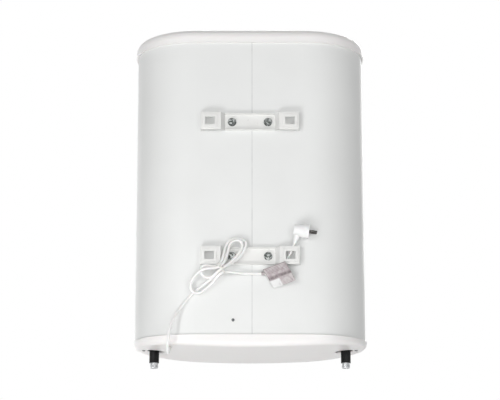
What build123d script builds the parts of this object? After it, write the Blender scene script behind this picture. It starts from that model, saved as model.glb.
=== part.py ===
from build123d import *
import os
from math import cos, pi, radians, sin, sqrt, tan

# Flat wall-hung electric storage water heater, two tanks side by side.
# Millimetres. +Z is up, +Y points at the wall and the room side is -Y.
# The origin lies in the wall plane, midway between the two upper hooks.

# ---- overall sizes -------------------------------------------------------
BODY_WIDTH = 570.0            # jacket, side to side
BODY_DEPTH = 320.0            # jacket, front to back
BODY_HEIGHT = 728.0           # jacket seen between the two caps
SIDE_FLAT = 16.0              # flat strip left on each rounded side
STANDOFF = 20.0               # wall plane to the jacket's back
HOOKS_BELOW_TOP = 204.0       # upper hook line below the top cap's lower edge
BRACKET_SPACING = 335.0       # upper to lower hook line

# ---- casing --------------------------------------------------------------
JACKET_WALL = 0.6
JACKET_IN_CAP = 12.0          # how far the jacket reaches into each cap
LAP_X = -4.5                  # visible edge of the jacket's lap seam
LAP_WIDTH = 14.0
LAP_GROOVE_WIDTH = 1.4
LAP_GROOVE_DEPTH = 0.35
CAP_WALL = 3.0
CAP_CLEARANCE = 0.3           # cap skirt to jacket
TOP_CAP_PROUD = 4.0
TOP_CAP_SKIRT = 14.0          # straight rim of the top cap
TOP_CAP_ROUND = 22.0
BOTTOM_CAP_PROUD = 3.5
BOTTOM_CAP_DROP = 30.0        # underside below the seam at the middle
BOTTOM_CAP_SIDE_DROP = 14.5   # the same at the two sides
BOTTOM_CAP_ROUND = 12.0

# ---- wall brackets -------------------------------------------------------
PLATE = 2.0
BRACKET_WEB_HALF = 62.0       # half length of the middle web
BRACKET_RAMP = 10.0
BRACKET_HALF_LENGTH = 120.0
WEB_HALF_HEIGHT = 21.0
PAD_HALF_HEIGHT = 22.0
WEB_FLANGE = 10.0             # depth of the web's long flanges
PAD_FLANGE = 5.0
EMBOSS = 1.0                  # raised frame round each hook window
EMBOSS_WIDTH = 35.0
EMBOSS_HEIGHT = 33.0
HOOK_SPACING = 196.0
HOOK_WIDTH = 23.0
HOOK_HEIGHT = 19.0
BOLT_SPACING = 88.0

# ---- bracket bolts, M10 --------------------------------------------------
BOLT_RADIUS = 5.0
BOLT_CLEARANCE = 0.5
BOLT_HEAD_FLATS = 16.0
BOLT_HEAD_HEIGHT = 6.4
WASHER_RADIUS = 10.5
WASHER_THICKNESS = 1.8
NUT_FLATS = 16.0
NUT_HEIGHT = 8.0
RAIL_THICKNESS = 3.0
RAIL_HALF_HEIGHT = 22.0
SADDLE_HALF_WIDTH = 18.0
SADDLE_DEPTH = 4.0            # how far a saddle wraps round its tank

# ---- tanks ---------------------------------------------------------------
TANK_RADIUS = 123.0
TANK_WALL = 1.6
TANK_HEAD = 42.0              # depth of each domed head
TANK_SIDE_GAP = 34.0          # tank to jacket at the sides
TANK_BELOW_TOP = 39.0
TANK_ABOVE_BOTTOM = 42.0
FOAM_BELOW_TOP = 1.0
FOAM_ABOVE_BOTTOM = 54.0

# ---- service flange of each tank ----------------------------------------
NECK_RADIUS = 46.0
NECK_BORE = 31.5
NECK_DROP = 6.0
GASKET_THICKNESS = 3.0
FLANGE_THICKNESS = 5.0
FLANGE_BOLT_CIRCLE = 39.0
FLANGE_BOLT_RADIUS = 3.0
FLANGE_BOLT_COUNT = 6
FLANGE_BOLT_REACH = 6.0
FLANGE_BOLT_FLATS = 10.0
FLANGE_BOLT_HEAD = 4.0
ELEMENT_RADIUS = 4.25
ELEMENT_HALF_SPACING = 12.0
ELEMENT_OFFSET = 14.0
ELEMENT_HEIGHT = 290.0
ELEMENT_TAIL = 16.0
ANODE_RADIUS = 11.0
ANODE_OFFSET = 14.0
ANODE_HEIGHT = 300.0
ANODE_STUD_RADIUS = 4.0
ANODE_STUD = 10.0
WELL_RADIUS = 6.0
WELL_BORE = 5.0
WELL_OFFSET = 22.0
WELL_HEIGHT = 260.0
WELL_TAIL = 4.0

# ---- water pipes ---------------------------------------------------------
PIPE_RADIUS = 10.65
THREAD_RELIEF = 0.175         # turned off for the G 1/2 thread, outside diameter 20.95
PIPE_BORE = 7.5
PIPE_EDGE = 48.0              # pipe axis in from the jacket's side
SPIGOT_OFFSET = 74.0          # where the pipe enters the tank's head
PIPE_BEND = 22.0
PIPE_BEND_TOP = 32.0          # bend corners above the bottom seam
PIPE_BEND_LOW = 9.0
PIPE_END_DROP = 62.0          # free end below the bottom seam
PIPE_THREAD = 13.0            # bare thread below the sleeve
PIPE_INSIDE = 14.9            # pipe end above the head, at the socket's outer edge
SLEEVE_WALL = 1.35
SLEEVE_TOP_DROP = 5.0
PORT_RADIUS = 22.0            # round well in the bottom cap
PORT_WALL = 2.0
PORT_INWARD = 4.0             # well axis inward of the pipe
PORT_FLOOR_DROP = 7.0
SLEEVE_CLEARANCE = 0.5
TRANSFER_RADIUS = 8.0
TRANSFER_BORE = 6.0
TRANSFER_OFFSET = 45.0        # forward of the tank axis
TRANSFER_RISE = 22.0
TRANSFER_BEND = 28.0
TRANSFER_START = 12.0         # inlet below the cold tank's highest point
TRANSFER_END = 60.0           # outlet above the hot tank's lowest point
SOCKET_WALL = 1.85
SOCKET_DEPTH = 13.0

# ---- front controls ------------------------------------------------------
PANEL_ABOVE_BOTTOM = 84.0
PANEL_WIDTH = 180.0
PANEL_HEIGHT = 60.0
PANEL_THICKNESS = 4.0
KNOB_RADIUS = 22.0
KNOB_HEIGHT = 17.0
KNOB_GAP = 0.5
GRIP_HALF_WIDTH = 4.5
SPINDLE_RADIUS = 3.0
SPINDLE_IN_KNOB = 12.0
SPINDLE_BORE = 12.0           # spindle hole's depth behind the jacket's front
SPINDLE_END_GAP = 0.5
RUNNING_CLEARANCE = 0.05
BUSH_RADIUS = 5.0
BUSH_PROUD = 3.0
THERMOSTAT_SIZE = (34.0, 24.0, 30.0)
GAUGE_X = -59.0
GAUGE_RADIUS = 23.0
GAUGE_RIM_WIDTH = 3.0
GAUGE_RIM_HEIGHT = 2.5
GAUGE_DEPTH = 14.0
GAUGE_WALL = 1.2
DIAL_DEPTH = 5.0              # dial's back behind the panel's face
DIAL_THICKNESS = 0.8
DIAL_POST_RADIUS = 5.0
NEEDLE_LENGTH = 17.0
NEEDLE_TAIL = 5.0
NEEDLE_THICKNESS = 0.7
NEEDLE_HUB_RADIUS = 2.6
NEEDLE_REST = 120.0           # lowest reading, from straight up
NEEDLE_PIN = 0.8
LENS_INSET = 0.8
LENS_THICKNESS = 1.2
SWITCH_X = 45.0
SWITCH_HALF_WIDTH = 8.0
SWITCH_HALF_HEIGHT = 13.0
SWITCH_DEPTH = 18.0
SWITCH_FLANGE = 1.5
SWITCH_LIP = 1.8              # flange beyond the body on each side
SWITCH_FLOOR = 2.0
ROCKER_RADIUS = 10.5
ROCKER_HALF_WIDTH = 5.8
ROCKER_FACE = 6.5             # pivot to the front face
ROCKER_BACK = 6.0
ROCKER_TILT = 8.0
ROCKER_PIN = 1.5
ROCKER_PIN_LENGTH = 1.4
ROCKER_GAP = 0.4
ROCKER_PIVOT = 3.0            # pivot behind the panel's face
DISH_RADIUS = 39.0
DISH_DEPTH = 1.0
LAMP_X = 70.0
LAMP_HALF_SPACING = 9.0
LAMP_RADIUS = 3.0
LAMP_LENGTH = 12.0

# ---- wiring space --------------------------------------------------------
BLOCK_WIDTH = 40.0
TERMINAL_INSET = 5.0          # terminal block in from the end of the flat back
CUTOUT_MIDDLE = -52.0
BLOCK_DEPTH = 16.0
BLOCK_TOP = 27.0              # above the bottom seam
BLOCK_HEIGHT = 20.0
TERMINAL_RECESS = 5.0
CUTOUT_DEPTH = 24.0
RESET_RADIUS = 3.0
RESET_TRAVEL = 2.0
RESET_PROUD = 4.0
WIRE_RADIUS = 1.2
BULB_ABOVE_FLANGE = 40.0
BULB_LENGTH = 90.0
BULB_CLEARANCE = 0.2
CAP_SCREW_EDGE = 22.0         # cap screw in from the jacket's side
SCREW_RADIUS = 2.0
SCREW_HEAD = 3.8
SCREW_POST_RADIUS = 5.0
TAB_THICKNESS = 1.5           # jacket tab that a cap screw holds
JACKET_SCREW = (40.7, 34.0)   # from the middle, above the bottom seam

# ---- mains cord ----------------------------------------------------------
CORD_RADIUS = 3.5
TAG_THICKNESS = 0.8
TIE_WIDTH = 5.0
TIE_THICKNESS = 1.2
PLUG_FACE_RADIUS = 18.0
PLUG_FACE_DEPTH = 15.0
PLUG_BACK_RADIUS = 12.0
PLUG_LENGTH = 37.0
PIN_RADIUS = 2.4
PIN_LENGTH = 19.0
PIN_HALF_SPACING = 9.5
PIN_ROOT = 8.0                # pin held inside the plug
PLUG_TILT = 8.0
CLIP_WIDTH = 8.0
CLIP_NOTCH = 3.0
CLIP_LENGTH = 12.0
CLIP_THICKNESS = 1.2

# ---- what follows from them ----------------------------------------------
REAR_Y = -STANDOFF
FRONT_Y = REAR_Y - BODY_DEPTH
MID_Y = (REAR_Y + FRONT_Y) / 2
INNER_REAR_Y = REAR_Y - JACKET_WALL
INNER_FRONT_Y = FRONT_Y + JACKET_WALL
HALF_WIDTH = BODY_WIDTH / 2
CORNER = (BODY_DEPTH - SIDE_FLAT) / 2
TOP_Z = HOOKS_BELOW_TOP
BOTTOM_Z = TOP_Z - BODY_HEIGHT
JACKET_TOP = TOP_Z + JACKET_IN_CAP
JACKET_BOTTOM = BOTTOM_Z - JACKET_IN_CAP + 2
TANK_X = HALF_WIDTH - TANK_SIDE_GAP - TANK_RADIUS
TANK_TOP = TOP_Z - TANK_BELOW_TOP
TANK_BOTTOM = BOTTOM_Z + TANK_ABOVE_BOTTOM
NECK_Z = TANK_BOTTOM - NECK_DROP
GASKET_Z = NECK_Z - GASKET_THICKNESS
FLANGE_Z = GASKET_Z - FLANGE_THICKNESS
PIPE_X = HALF_WIDTH - PIPE_EDGE
THREAD_RADIUS = PIPE_RADIUS - THREAD_RELIEF
SLEEVE_RADIUS = PIPE_RADIUS + SLEEVE_WALL
SOCKET_RADIUS = PIPE_RADIUS + SOCKET_WALL
HEAD_RISE = TANK_HEAD * (1 - sqrt(1 - ((SPIGOT_OFFSET + SOCKET_RADIUS) / TANK_RADIUS) ** 2))
PIPE_TOP = TANK_BOTTOM + HEAD_RISE + PIPE_INSIDE
GAUGE_RIM = GAUGE_RADIUS + GAUGE_RIM_WIDTH
PIPE_END = BOTTOM_Z - PIPE_END_DROP
SLEEVE_END = PIPE_END + PIPE_THREAD
PORT_X = PIPE_X - PORT_INWARD
PORT_FLOOR = BOTTOM_Z - PORT_FLOOR_DROP
TAB_Z = PORT_FLOOR + 1
PANEL_Z = BOTTOM_Z + PANEL_ABOVE_BOTTOM
PANEL_Y = FRONT_Y - PANEL_THICKNESS
LOWER_HOOK_Z = -BRACKET_SPACING
FLAT_EDGE = HALF_WIDTH - CORNER - TERMINAL_INSET
TERMINAL_X = (FLAT_EDGE - BLOCK_WIDTH, FLAT_EDGE)
CUTOUT_X = (CUTOUT_MIDDLE - BLOCK_WIDTH / 2, CUTOUT_MIDDLE + BLOCK_WIDTH / 2)
BLOCK_LOW = BOTTOM_Z + BLOCK_TOP - BLOCK_HEIGHT
BLOCK_Z = BOTTOM_Z + BLOCK_TOP - BLOCK_HEIGHT / 2
SIDES = (1, -1)
UPWARD = (Align.CENTER, Align.CENTER, Align.MIN)

os.makedirs("parts", exist_ok=True)


# ---- helpers -------------------------------------------------------------
def save(name, *solids):
    """Write one node, as a single solid or as a group of separate solids."""
    flat = [piece for solid in solids for piece in solid.solids()]
    shape = flat[0] if len(flat) == 1 else Compound(children=flat)
    export_step(shape, f"parts/{name}.step")


def box(x0, x1, y0, y1, z0, z1):
    low = (min(x0, x1), min(y0, y1), min(z0, z1))
    size = (abs(x1 - x0), abs(y1 - y0), abs(z1 - z0))
    return Pos(*low) * Box(*size, align=(Align.MIN,) * 3)


def post(x, y, z0, z1, radius):
    """Upright cylinder."""
    return Pos(x, y, min(z0, z1)) * Cylinder(radius, abs(z1 - z0), align=UPWARD)


def boss(x, z, y0, y1, radius):
    """Cylinder along Y, from y0 to y1."""
    plane = Plane(origin=(x, min(y0, y1), z), x_dir=(1, 0, 0), z_dir=(0, 1, 0))
    return extrude(plane * Circle(radius), abs(y1 - y0))


def hexagon(x, z, y0, y1, flats):
    plane = Plane(origin=(x, min(y0, y1), z), x_dir=(1, 0, 0), z_dir=(0, 1, 0))
    return extrude(plane * RegularPolygon(flats / 2, 6, major_radius=False), abs(y1 - y0))


def body_prism(grow, z0, z1):
    """Upright prism on the heater's plan, grown outward by `grow`."""
    plan = RectangleRounded(BODY_WIDTH + 2 * grow, BODY_DEPTH + 2 * grow, CORNER + grow)
    return Pos(0, MID_Y, z0) * extrude(plan, z1 - z0)


def tube(points, radius, bends):
    """Round rod along straight runs joined by tangent arcs."""
    path = FilletPolyline(*points, radius=bends)
    start = Plane(origin=path @ 0, z_dir=path % 0)
    return sweep(start * Circle(radius), path=path)


# ---- casing --------------------------------------------------------------
def underside_drop(x, lift=0.0):
    """How far the bottom cap's underside lies below the seam at x."""
    half = HALF_WIDTH + BOTTOM_CAP_PROUD
    return BOTTOM_CAP_DROP - lift - (BOTTOM_CAP_DROP - BOTTOM_CAP_SIDE_DROP) * (x / half) ** 2


def bowed_prism(grow, z_top, lift, edge_round):
    """Plan prism closed below by the cap's bowed underside, with its lower edge rounded."""
    half = HALF_WIDTH + BOTTOM_CAP_PROUD
    bow = BOTTOM_CAP_DROP - BOTTOM_CAP_SIDE_DROP
    bow_radius = (half**2 + bow**2) / (2 * bow)
    lowest = BOTTOM_Z - BOTTOM_CAP_DROP + lift
    block = body_prism(grow, lowest - 1, z_top)
    bow_solid = boss(0, lowest + bow_radius, FRONT_Y - 50, REAR_Y + 50, bow_radius)
    solid = block & bow_solid
    lower = [edge for edge in solid.edges() if edge.center().Z < BOTTOM_Z - BOTTOM_CAP_SIDE_DROP + lift + 2]
    return fillet(lower, edge_round)


def make_jacket():
    span = (JACKET_BOTTOM, JACKET_TOP)
    shell = body_prism(0, *span) - body_prism(-JACKET_WALL, *span)
    shell -= box(LAP_X, LAP_X - LAP_GROOVE_WIDTH, REAR_Y - LAP_GROOVE_DEPTH, REAR_Y + 1, *span)
    shell += box(LAP_X, LAP_X - LAP_WIDTH, INNER_REAR_Y - JACKET_WALL, INNER_REAR_Y, *span)
    for z in (0, LOWER_HOOK_Z):
        for x in (-BOLT_SPACING / 2, BOLT_SPACING / 2):
            shell -= boss(x, z, INNER_REAR_Y - 1, REAR_Y + 1, BOLT_RADIUS + BOLT_CLEARANCE)
    screw_x, screw_rise = JACKET_SCREW
    shell -= boss(screw_x, BOTTOM_Z + screw_rise, INNER_REAR_Y - 1, REAR_Y + 1, SCREW_RADIUS)
    front = (FRONT_Y - 1, INNER_FRONT_Y + 1)
    shell -= boss(0, PANEL_Z, *front, BUSH_RADIUS + BOLT_CLEARANCE)
    shell -= boss(GAUGE_X, PANEL_Z, *front, GAUGE_RADIUS + CAP_CLEARANCE)
    shell -= switch_opening(*front, CAP_CLEARANCE)
    for side in SIDES:
        shell -= boss(LAMP_X, PANEL_Z + side * LAMP_HALF_SPACING, *front, LAMP_RADIUS + CAP_CLEARANCE)
        tab = box(side * (PORT_X + PORT_RADIUS + PORT_WALL + 1), side * (HALF_WIDTH - JACKET_WALL),
                  MID_Y - SIDE_FLAT / 2, MID_Y + SIDE_FLAT / 2, TAB_Z, TAB_Z + TAB_THICKNESS)
        screw_x = side * (HALF_WIDTH - CAP_SCREW_EDGE)
        shell += tab - post(screw_x, MID_Y, TAB_Z - 1, TAB_Z + TAB_THICKNESS + 1, SCREW_RADIUS)
    return shell


def switch_opening(y0, y1, grow):
    return box(SWITCH_X - SWITCH_HALF_WIDTH - grow, SWITCH_X + SWITCH_HALF_WIDTH + grow, y0, y1,
               PANEL_Z - SWITCH_HALF_HEIGHT - grow, PANEL_Z + SWITCH_HALF_HEIGHT + grow)


def make_top_cap():
    crown = TOP_Z + TOP_CAP_SKIRT + TOP_CAP_ROUND
    outer = body_prism(TOP_CAP_PROUD, TOP_Z, crown)
    outer = fillet(outer.faces().sort_by(Axis.Z)[-1].edges(), TOP_CAP_ROUND)
    hollow = body_prism(-CAP_WALL, TOP_Z, crown - CAP_WALL)
    hollow = fillet(hollow.faces().sort_by(Axis.Z)[-1].edges(), TOP_CAP_ROUND - CAP_WALL)
    return outer - hollow - body_prism(CAP_CLEARANCE, TOP_Z, JACKET_TOP)


def make_bottom_cap(gland):
    outer = bowed_prism(BOTTOM_CAP_PROUD, BOTTOM_Z, 0, BOTTOM_CAP_ROUND)
    hollow = bowed_prism(-CAP_WALL, BOTTOM_Z, CAP_WALL, BOTTOM_CAP_ROUND - CAP_WALL)
    cap = outer - hollow - body_prism(CAP_CLEARANCE, JACKET_BOTTOM, BOTTOM_Z)
    low = BOTTOM_Z - BOTTOM_CAP_DROP - 5
    for side in SIDES:
        port_x = side * PORT_X
        cap += post(port_x, MID_Y, low, PORT_FLOOR, PORT_RADIUS + PORT_WALL) & outer
        cap -= post(port_x, MID_Y, low, PORT_FLOOR - PORT_WALL, PORT_RADIUS)
        cap -= post(side * PIPE_X, MID_Y, low, PORT_FLOOR, SLEEVE_RADIUS + SLEEVE_CLEARANCE)
        screw_x = side * (HALF_WIDTH - CAP_SCREW_EDGE)
        cap += post(screw_x, MID_Y, low, TAB_Z, SCREW_POST_RADIUS) & outer
        cap -= post(screw_x, MID_Y, low, TAB_Z + 1, SCREW_RADIUS)
    return cap - gland


def make_cap_screws():
    screws = []
    for side in SIDES:
        x = side * (HALF_WIDTH - CAP_SCREW_EDGE)
        seat = BOTTOM_Z - underside_drop(abs(x) - SCREW_HEAD)
        shank = post(x, MID_Y, seat, TAB_Z + TAB_THICKNESS + 1.5, SCREW_RADIUS)
        head = post(x, MID_Y, seat - 2, seat, SCREW_HEAD)
        slot = box(x - 0.6, x + 0.6, MID_Y - 3, MID_Y + 3, seat - 2, seat - 1)
        screws.append(shank + head - slot)
    return screws


# ---- wall brackets and what they bolt to ---------------------------------
def make_bracket(z):
    """Pressed plate: web against the jacket, two raised pads with hook windows."""
    back, pad = REAR_Y, -EMBOSS
    web, ramp, end = BRACKET_WEB_HALF, BRACKET_WEB_HALF + BRACKET_RAMP, BRACKET_HALF_LENGTH
    skew = PLATE * 0.4
    outer = [(web - skew, back + PLATE), (ramp - skew, pad), (end, pad), (end, back)]
    inner = [(end - PLATE, back), (end - PLATE, pad - PLATE),
             (ramp + skew, pad - PLATE), (web + skew, back)]
    half = outer + inner
    outline = half + [(-x, y) for x, y in reversed(half)]
    plane = Plane(origin=(0, 0, z - PAD_HALF_HEIGHT), x_dir=(1, 0, 0), z_dir=(0, 0, 1))
    plate = extrude(plane * make_face(Polyline(*outline, close=True)), 2 * PAD_HALF_HEIGHT)
    bends = [edge for edge in plate.edges().filter_by(Axis.Z)
             if abs(abs(edge.center().X) - end) < 0.1 and edge.center().Y > pad - 0.1]
    plate = fillet(bends, PLATE)
    for up in SIDES:
        edge_z, pad_z = z + up * WEB_HALF_HEIGHT, z + up * PAD_HALF_HEIGHT
        neck = box(-ramp + 4, ramp - 4, back - 1, 1, edge_z, pad_z + up)
        plate -= neck
        plate += box(-web + 1, web - 1, back, back + WEB_FLANGE, edge_z, edge_z - up * PLATE)
        for side in SIDES:
            plate += box(side * (ramp + 1), side * (end - PLATE), pad, pad - PAD_FLANGE,
                         pad_z, pad_z - up * PLATE)
    for side in SIDES:
        x = side * HOOK_SPACING / 2
        plate += box(x - EMBOSS_WIDTH / 2, x + EMBOSS_WIDTH / 2, pad, 0,
                     z - EMBOSS_HEIGHT / 2, z + EMBOSS_HEIGHT / 2)
        plate -= box(x - HOOK_WIDTH / 2, x + HOOK_WIDTH / 2, pad - PLATE - 1, 1,
                     z - HOOK_HEIGHT / 2, z + HOOK_HEIGHT / 2)
        bolt_x = side * BOLT_SPACING / 2
        plate -= boss(bolt_x, z, back - 1, back + PLATE + 1, BOLT_RADIUS + BOLT_CLEARANCE)
    return plate


def bolt_places():
    return [(side * BOLT_SPACING / 2, z) for z in (0, LOWER_HOOK_Z) for side in SIDES]


def make_bracket_bolt(x, z):
    seat = REAR_Y + PLATE + WASHER_THICKNESS
    end = INNER_REAR_Y - RAIL_THICKNESS - NUT_HEIGHT - 3
    head = hexagon(x, z, seat, seat + BOLT_HEAD_HEIGHT, BOLT_HEAD_FLATS)
    crown = boss(x, z, seat, seat + BOLT_HEAD_HEIGHT, BOLT_HEAD_FLATS * 0.56)
    crown = chamfer(crown.edges().sort_by(Axis.Y)[-1:], 1.2)
    return (head & crown) + boss(x, z, end, seat, BOLT_RADIUS)


def make_washer(x, z):
    seat = REAR_Y + PLATE
    return boss(x, z, seat, seat + WASHER_THICKNESS, WASHER_RADIUS) - boss(
        x, z, seat - 1, seat + WASHER_THICKNESS + 1, BOLT_RADIUS)


def make_weld_nut(x, z):
    seat = INNER_REAR_Y - RAIL_THICKNESS
    nut = hexagon(x, z, seat - NUT_HEIGHT, seat, NUT_FLATS)
    return nut - boss(x, z, seat - NUT_HEIGHT, seat, BOLT_RADIUS)


def make_rail(z, jacket):
    """Cross rail welded to both tanks behind one bracket."""
    reach = TANK_X + SADDLE_HALF_WIDTH
    rear, front = INNER_REAR_Y, INNER_REAR_Y - RAIL_THICKNESS
    rail = box(-reach, reach, front, rear, z - RAIL_HALF_HEIGHT, z + RAIL_HALF_HEIGHT)
    for side in SIDES:
        x = side * TANK_X
        saddle = box(x - SADDLE_HALF_WIDTH, x + SADDLE_HALF_WIDTH, MID_Y + TANK_RADIUS - SADDLE_DEPTH,
                     front, z - RAIL_HALF_HEIGHT, z + RAIL_HALF_HEIGHT)
        rail += saddle - post(x, MID_Y, z - 2 * RAIL_HALF_HEIGHT, z + 2 * RAIL_HALF_HEIGHT, TANK_RADIUS)
        rail -= boss(side * BOLT_SPACING / 2, z, front - 1, rear + 1, BOLT_RADIUS + BOLT_CLEARANCE)
    return (rail & body_prism(-JACKET_WALL, z - 2 * RAIL_HALF_HEIGHT, z + 2 * RAIL_HALF_HEIGHT)) - jacket


# ---- tanks ---------------------------------------------------------------
def tank_form(x, radius, head, top, bottom):
    """Solid cylinder with two domed heads."""
    high, low = top - head, bottom + head
    wall = Line((radius, low), (radius, high))
    upper = EllipticalCenterArc((0, high), radius, head, start_angle=0, arc_size=90)
    axis = Line((0, top), (0, bottom))
    lower = EllipticalCenterArc((0, low), radius, head, start_angle=-90, arc_size=90)
    face = make_face(Curve() + [wall, upper, axis, lower])
    return Pos(x, MID_Y, 0) * revolve(Plane.XZ * face, Axis.Z)


def make_tank(x, openings):
    outer = tank_form(x, TANK_RADIUS, TANK_HEAD, TANK_TOP, TANK_BOTTOM)
    inner = tank_form(x, TANK_RADIUS - TANK_WALL, TANK_HEAD - TANK_WALL,
                      TANK_TOP - TANK_WALL, TANK_BOTTOM + TANK_WALL)
    neck = post(x, MID_Y, NECK_Z, TANK_BOTTOM + 8, NECK_RADIUS)
    tank = outer + neck - inner - post(x, MID_Y, NECK_Z, TANK_BOTTOM + 12, NECK_BORE)
    for opening in openings:
        tank -= opening
    for bolt_x, bolt_y in flange_bolt_places(x):
        tank -= post(bolt_x, bolt_y, NECK_Z, NECK_Z + FLANGE_BOLT_REACH, FLANGE_BOLT_RADIUS)
    return tank


def flange_bolt_places(x):
    return [(x + loc.position.X, MID_Y + loc.position.Y)
            for loc in PolarLocations(FLANGE_BOLT_CIRCLE, FLANGE_BOLT_COUNT)]


def make_gasket(x):
    ring = post(x, MID_Y, GASKET_Z, NECK_Z, NECK_RADIUS) - post(x, MID_Y, GASKET_Z, NECK_Z, NECK_BORE)
    for bolt_x, bolt_y in flange_bolt_places(x):
        ring -= post(bolt_x, bolt_y, GASKET_Z, NECK_Z, FLANGE_BOLT_RADIUS)
    return ring


def make_element(x):
    low, high = FLANGE_Z - ELEMENT_TAIL, FLANGE_Z + ELEMENT_HEIGHT
    near, far = MID_Y - ELEMENT_HALF_SPACING, MID_Y + ELEMENT_HALF_SPACING
    x += ELEMENT_OFFSET
    return tube([(x, near, low), (x, near, high), (x, far, high), (x, far, low)], ELEMENT_RADIUS,
                ELEMENT_HALF_SPACING - 0.2)


def make_anode(x):
    x -= ANODE_OFFSET
    rod = post(x, MID_Y, GASKET_Z, GASKET_Z + ANODE_HEIGHT, ANODE_RADIUS)
    rod = fillet(rod.edges().sort_by(Axis.Z)[-1:], 3)
    return rod + post(x, MID_Y, FLANGE_Z - ANODE_STUD, GASKET_Z, ANODE_STUD_RADIUS)


def make_well(x):
    y = MID_Y + WELL_OFFSET
    return post(x, y, FLANGE_Z - WELL_TAIL, FLANGE_Z + WELL_HEIGHT, WELL_RADIUS) - post(
        x, y, FLANGE_Z - WELL_TAIL, FLANGE_Z + WELL_HEIGHT - 1, WELL_BORE)


def make_flange(x):
    plate = post(x, MID_Y, FLANGE_Z, GASKET_Z, NECK_RADIUS)
    for bolt_x, bolt_y in flange_bolt_places(x):
        plate -= post(bolt_x, bolt_y, FLANGE_Z, GASKET_Z, FLANGE_BOLT_RADIUS)
    for side in SIDES:
        leg_y = MID_Y + side * ELEMENT_HALF_SPACING
        plate -= post(x + ELEMENT_OFFSET, leg_y, FLANGE_Z, GASKET_Z, ELEMENT_RADIUS)
    plate -= post(x - ANODE_OFFSET, MID_Y, FLANGE_Z, GASKET_Z, ANODE_STUD_RADIUS)
    return plate - post(x, MID_Y + WELL_OFFSET, FLANGE_Z, GASKET_Z, WELL_RADIUS)


def make_flange_bolt(x, y):
    shank = post(x, y, FLANGE_Z, NECK_Z + FLANGE_BOLT_REACH, FLANGE_BOLT_RADIUS)
    head = Pos(x, y, FLANGE_Z - FLANGE_BOLT_HEAD) * extrude(
        RegularPolygon(FLANGE_BOLT_FLATS / 2, 6, major_radius=False), FLANGE_BOLT_HEAD)
    return shank + head


# ---- water pipes ---------------------------------------------------------
def pipe_route(side):
    spigot_x = side * (TANK_X + SPIGOT_OFFSET)
    return [(spigot_x, MID_Y, PIPE_TOP), (spigot_x, MID_Y, BOTTOM_Z + PIPE_BEND_TOP),
            (side * PIPE_X, MID_Y, BOTTOM_Z + PIPE_BEND_LOW), (side * PIPE_X, MID_Y, PIPE_END)]


def turned_end(side):
    """What is turned off a pipe's free end for its thread."""
    ring = post(side * PIPE_X, MID_Y, PIPE_END, SLEEVE_END, PIPE_RADIUS + 1)
    return ring - post(side * PIPE_X, MID_Y, PIPE_END, SLEEVE_END, THREAD_RADIUS)


def make_sleeve(side):
    top = BOTTOM_Z - SLEEVE_TOP_DROP
    sleeve = post(side * PIPE_X, MID_Y, SLEEVE_END, top, SLEEVE_RADIUS)
    return sleeve - post(side * PIPE_X, MID_Y, SLEEVE_END, top, PIPE_RADIUS)


def make_diffuser():
    """Closed cup pushed over the cold pipe's end, with four side slots."""
    x = TANK_X + SPIGOT_OFFSET
    cup = post(x, MID_Y, PIPE_TOP - SOCKET_DEPTH, PIPE_TOP + SOCKET_DEPTH, SOCKET_RADIUS)
    cup -= post(x, MID_Y, PIPE_TOP - SOCKET_DEPTH, PIPE_TOP + SOCKET_DEPTH - 2, PIPE_RADIUS)
    slot = (PIPE_TOP + 2, PIPE_TOP + SOCKET_DEPTH - 4)
    cup -= box(x - 20, x + 20, MID_Y - 4, MID_Y + 4, *slot)
    return cup - box(x - 4, x + 4, MID_Y - 20, MID_Y + 20, *slot)


def make_standpipe():
    """Hot water is drawn through this from near the top of the hot tank."""
    x = -(TANK_X + SPIGOT_OFFSET)
    top = TANK_TOP - TANK_HEAD
    pipe = post(x, MID_Y, PIPE_TOP - SOCKET_DEPTH, top, SOCKET_RADIUS)
    pipe -= post(x, MID_Y, PIPE_TOP - SOCKET_DEPTH, PIPE_TOP, PIPE_RADIUS)
    return pipe - post(x, MID_Y, PIPE_TOP, top, PIPE_BORE)


def transfer_route():
    y = MID_Y - TRANSFER_OFFSET
    arch = TANK_TOP + TRANSFER_RISE
    return [(TANK_X, y, TANK_TOP - TRANSFER_START), (TANK_X, y, arch),
            (-TANK_X, y, arch), (-TANK_X, y, TANK_BOTTOM + TRANSFER_END)]


# ---- front controls ------------------------------------------------------
def make_bezel():
    plane = Plane(origin=(0, PANEL_Y, PANEL_Z), x_dir=(1, 0, 0), z_dir=(0, 1, 0))
    plate = extrude(plane * SlotOverall(PANEL_WIDTH, PANEL_HEIGHT), PANEL_THICKNESS)
    plate = fillet(plate.faces().sort_by(Axis.Y)[0].edges(), 1.5)
    through = (PANEL_Y - 1, FRONT_Y + 1)
    plate -= boss(0, PANEL_Z, *through, BUSH_RADIUS + BOLT_CLEARANCE)
    plate -= boss(GAUGE_X, PANEL_Z, *through, GAUGE_RADIUS + CAP_CLEARANCE)
    plate -= switch_opening(*through, CAP_CLEARANCE)
    for side in SIDES:
        plate -= boss(LAMP_X, PANEL_Z + side * LAMP_HALF_SPACING, *through, LAMP_RADIUS + RUNNING_CLEARANCE)
    return plate


def make_thermostat():
    width, depth, height = THERMOSTAT_SIZE
    front = INNER_FRONT_Y
    body = box(-width / 2, width / 2, front, front + depth, PANEL_Z - height / 2, PANEL_Z + height / 2)
    body += boss(0, PANEL_Z, PANEL_Y - BUSH_PROUD, front, BUSH_RADIUS)
    bore = boss(0, PANEL_Z, PANEL_Y - BUSH_PROUD, front + SPINDLE_BORE, SPINDLE_RADIUS + RUNNING_CLEARANCE)
    return body - bore


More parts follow.
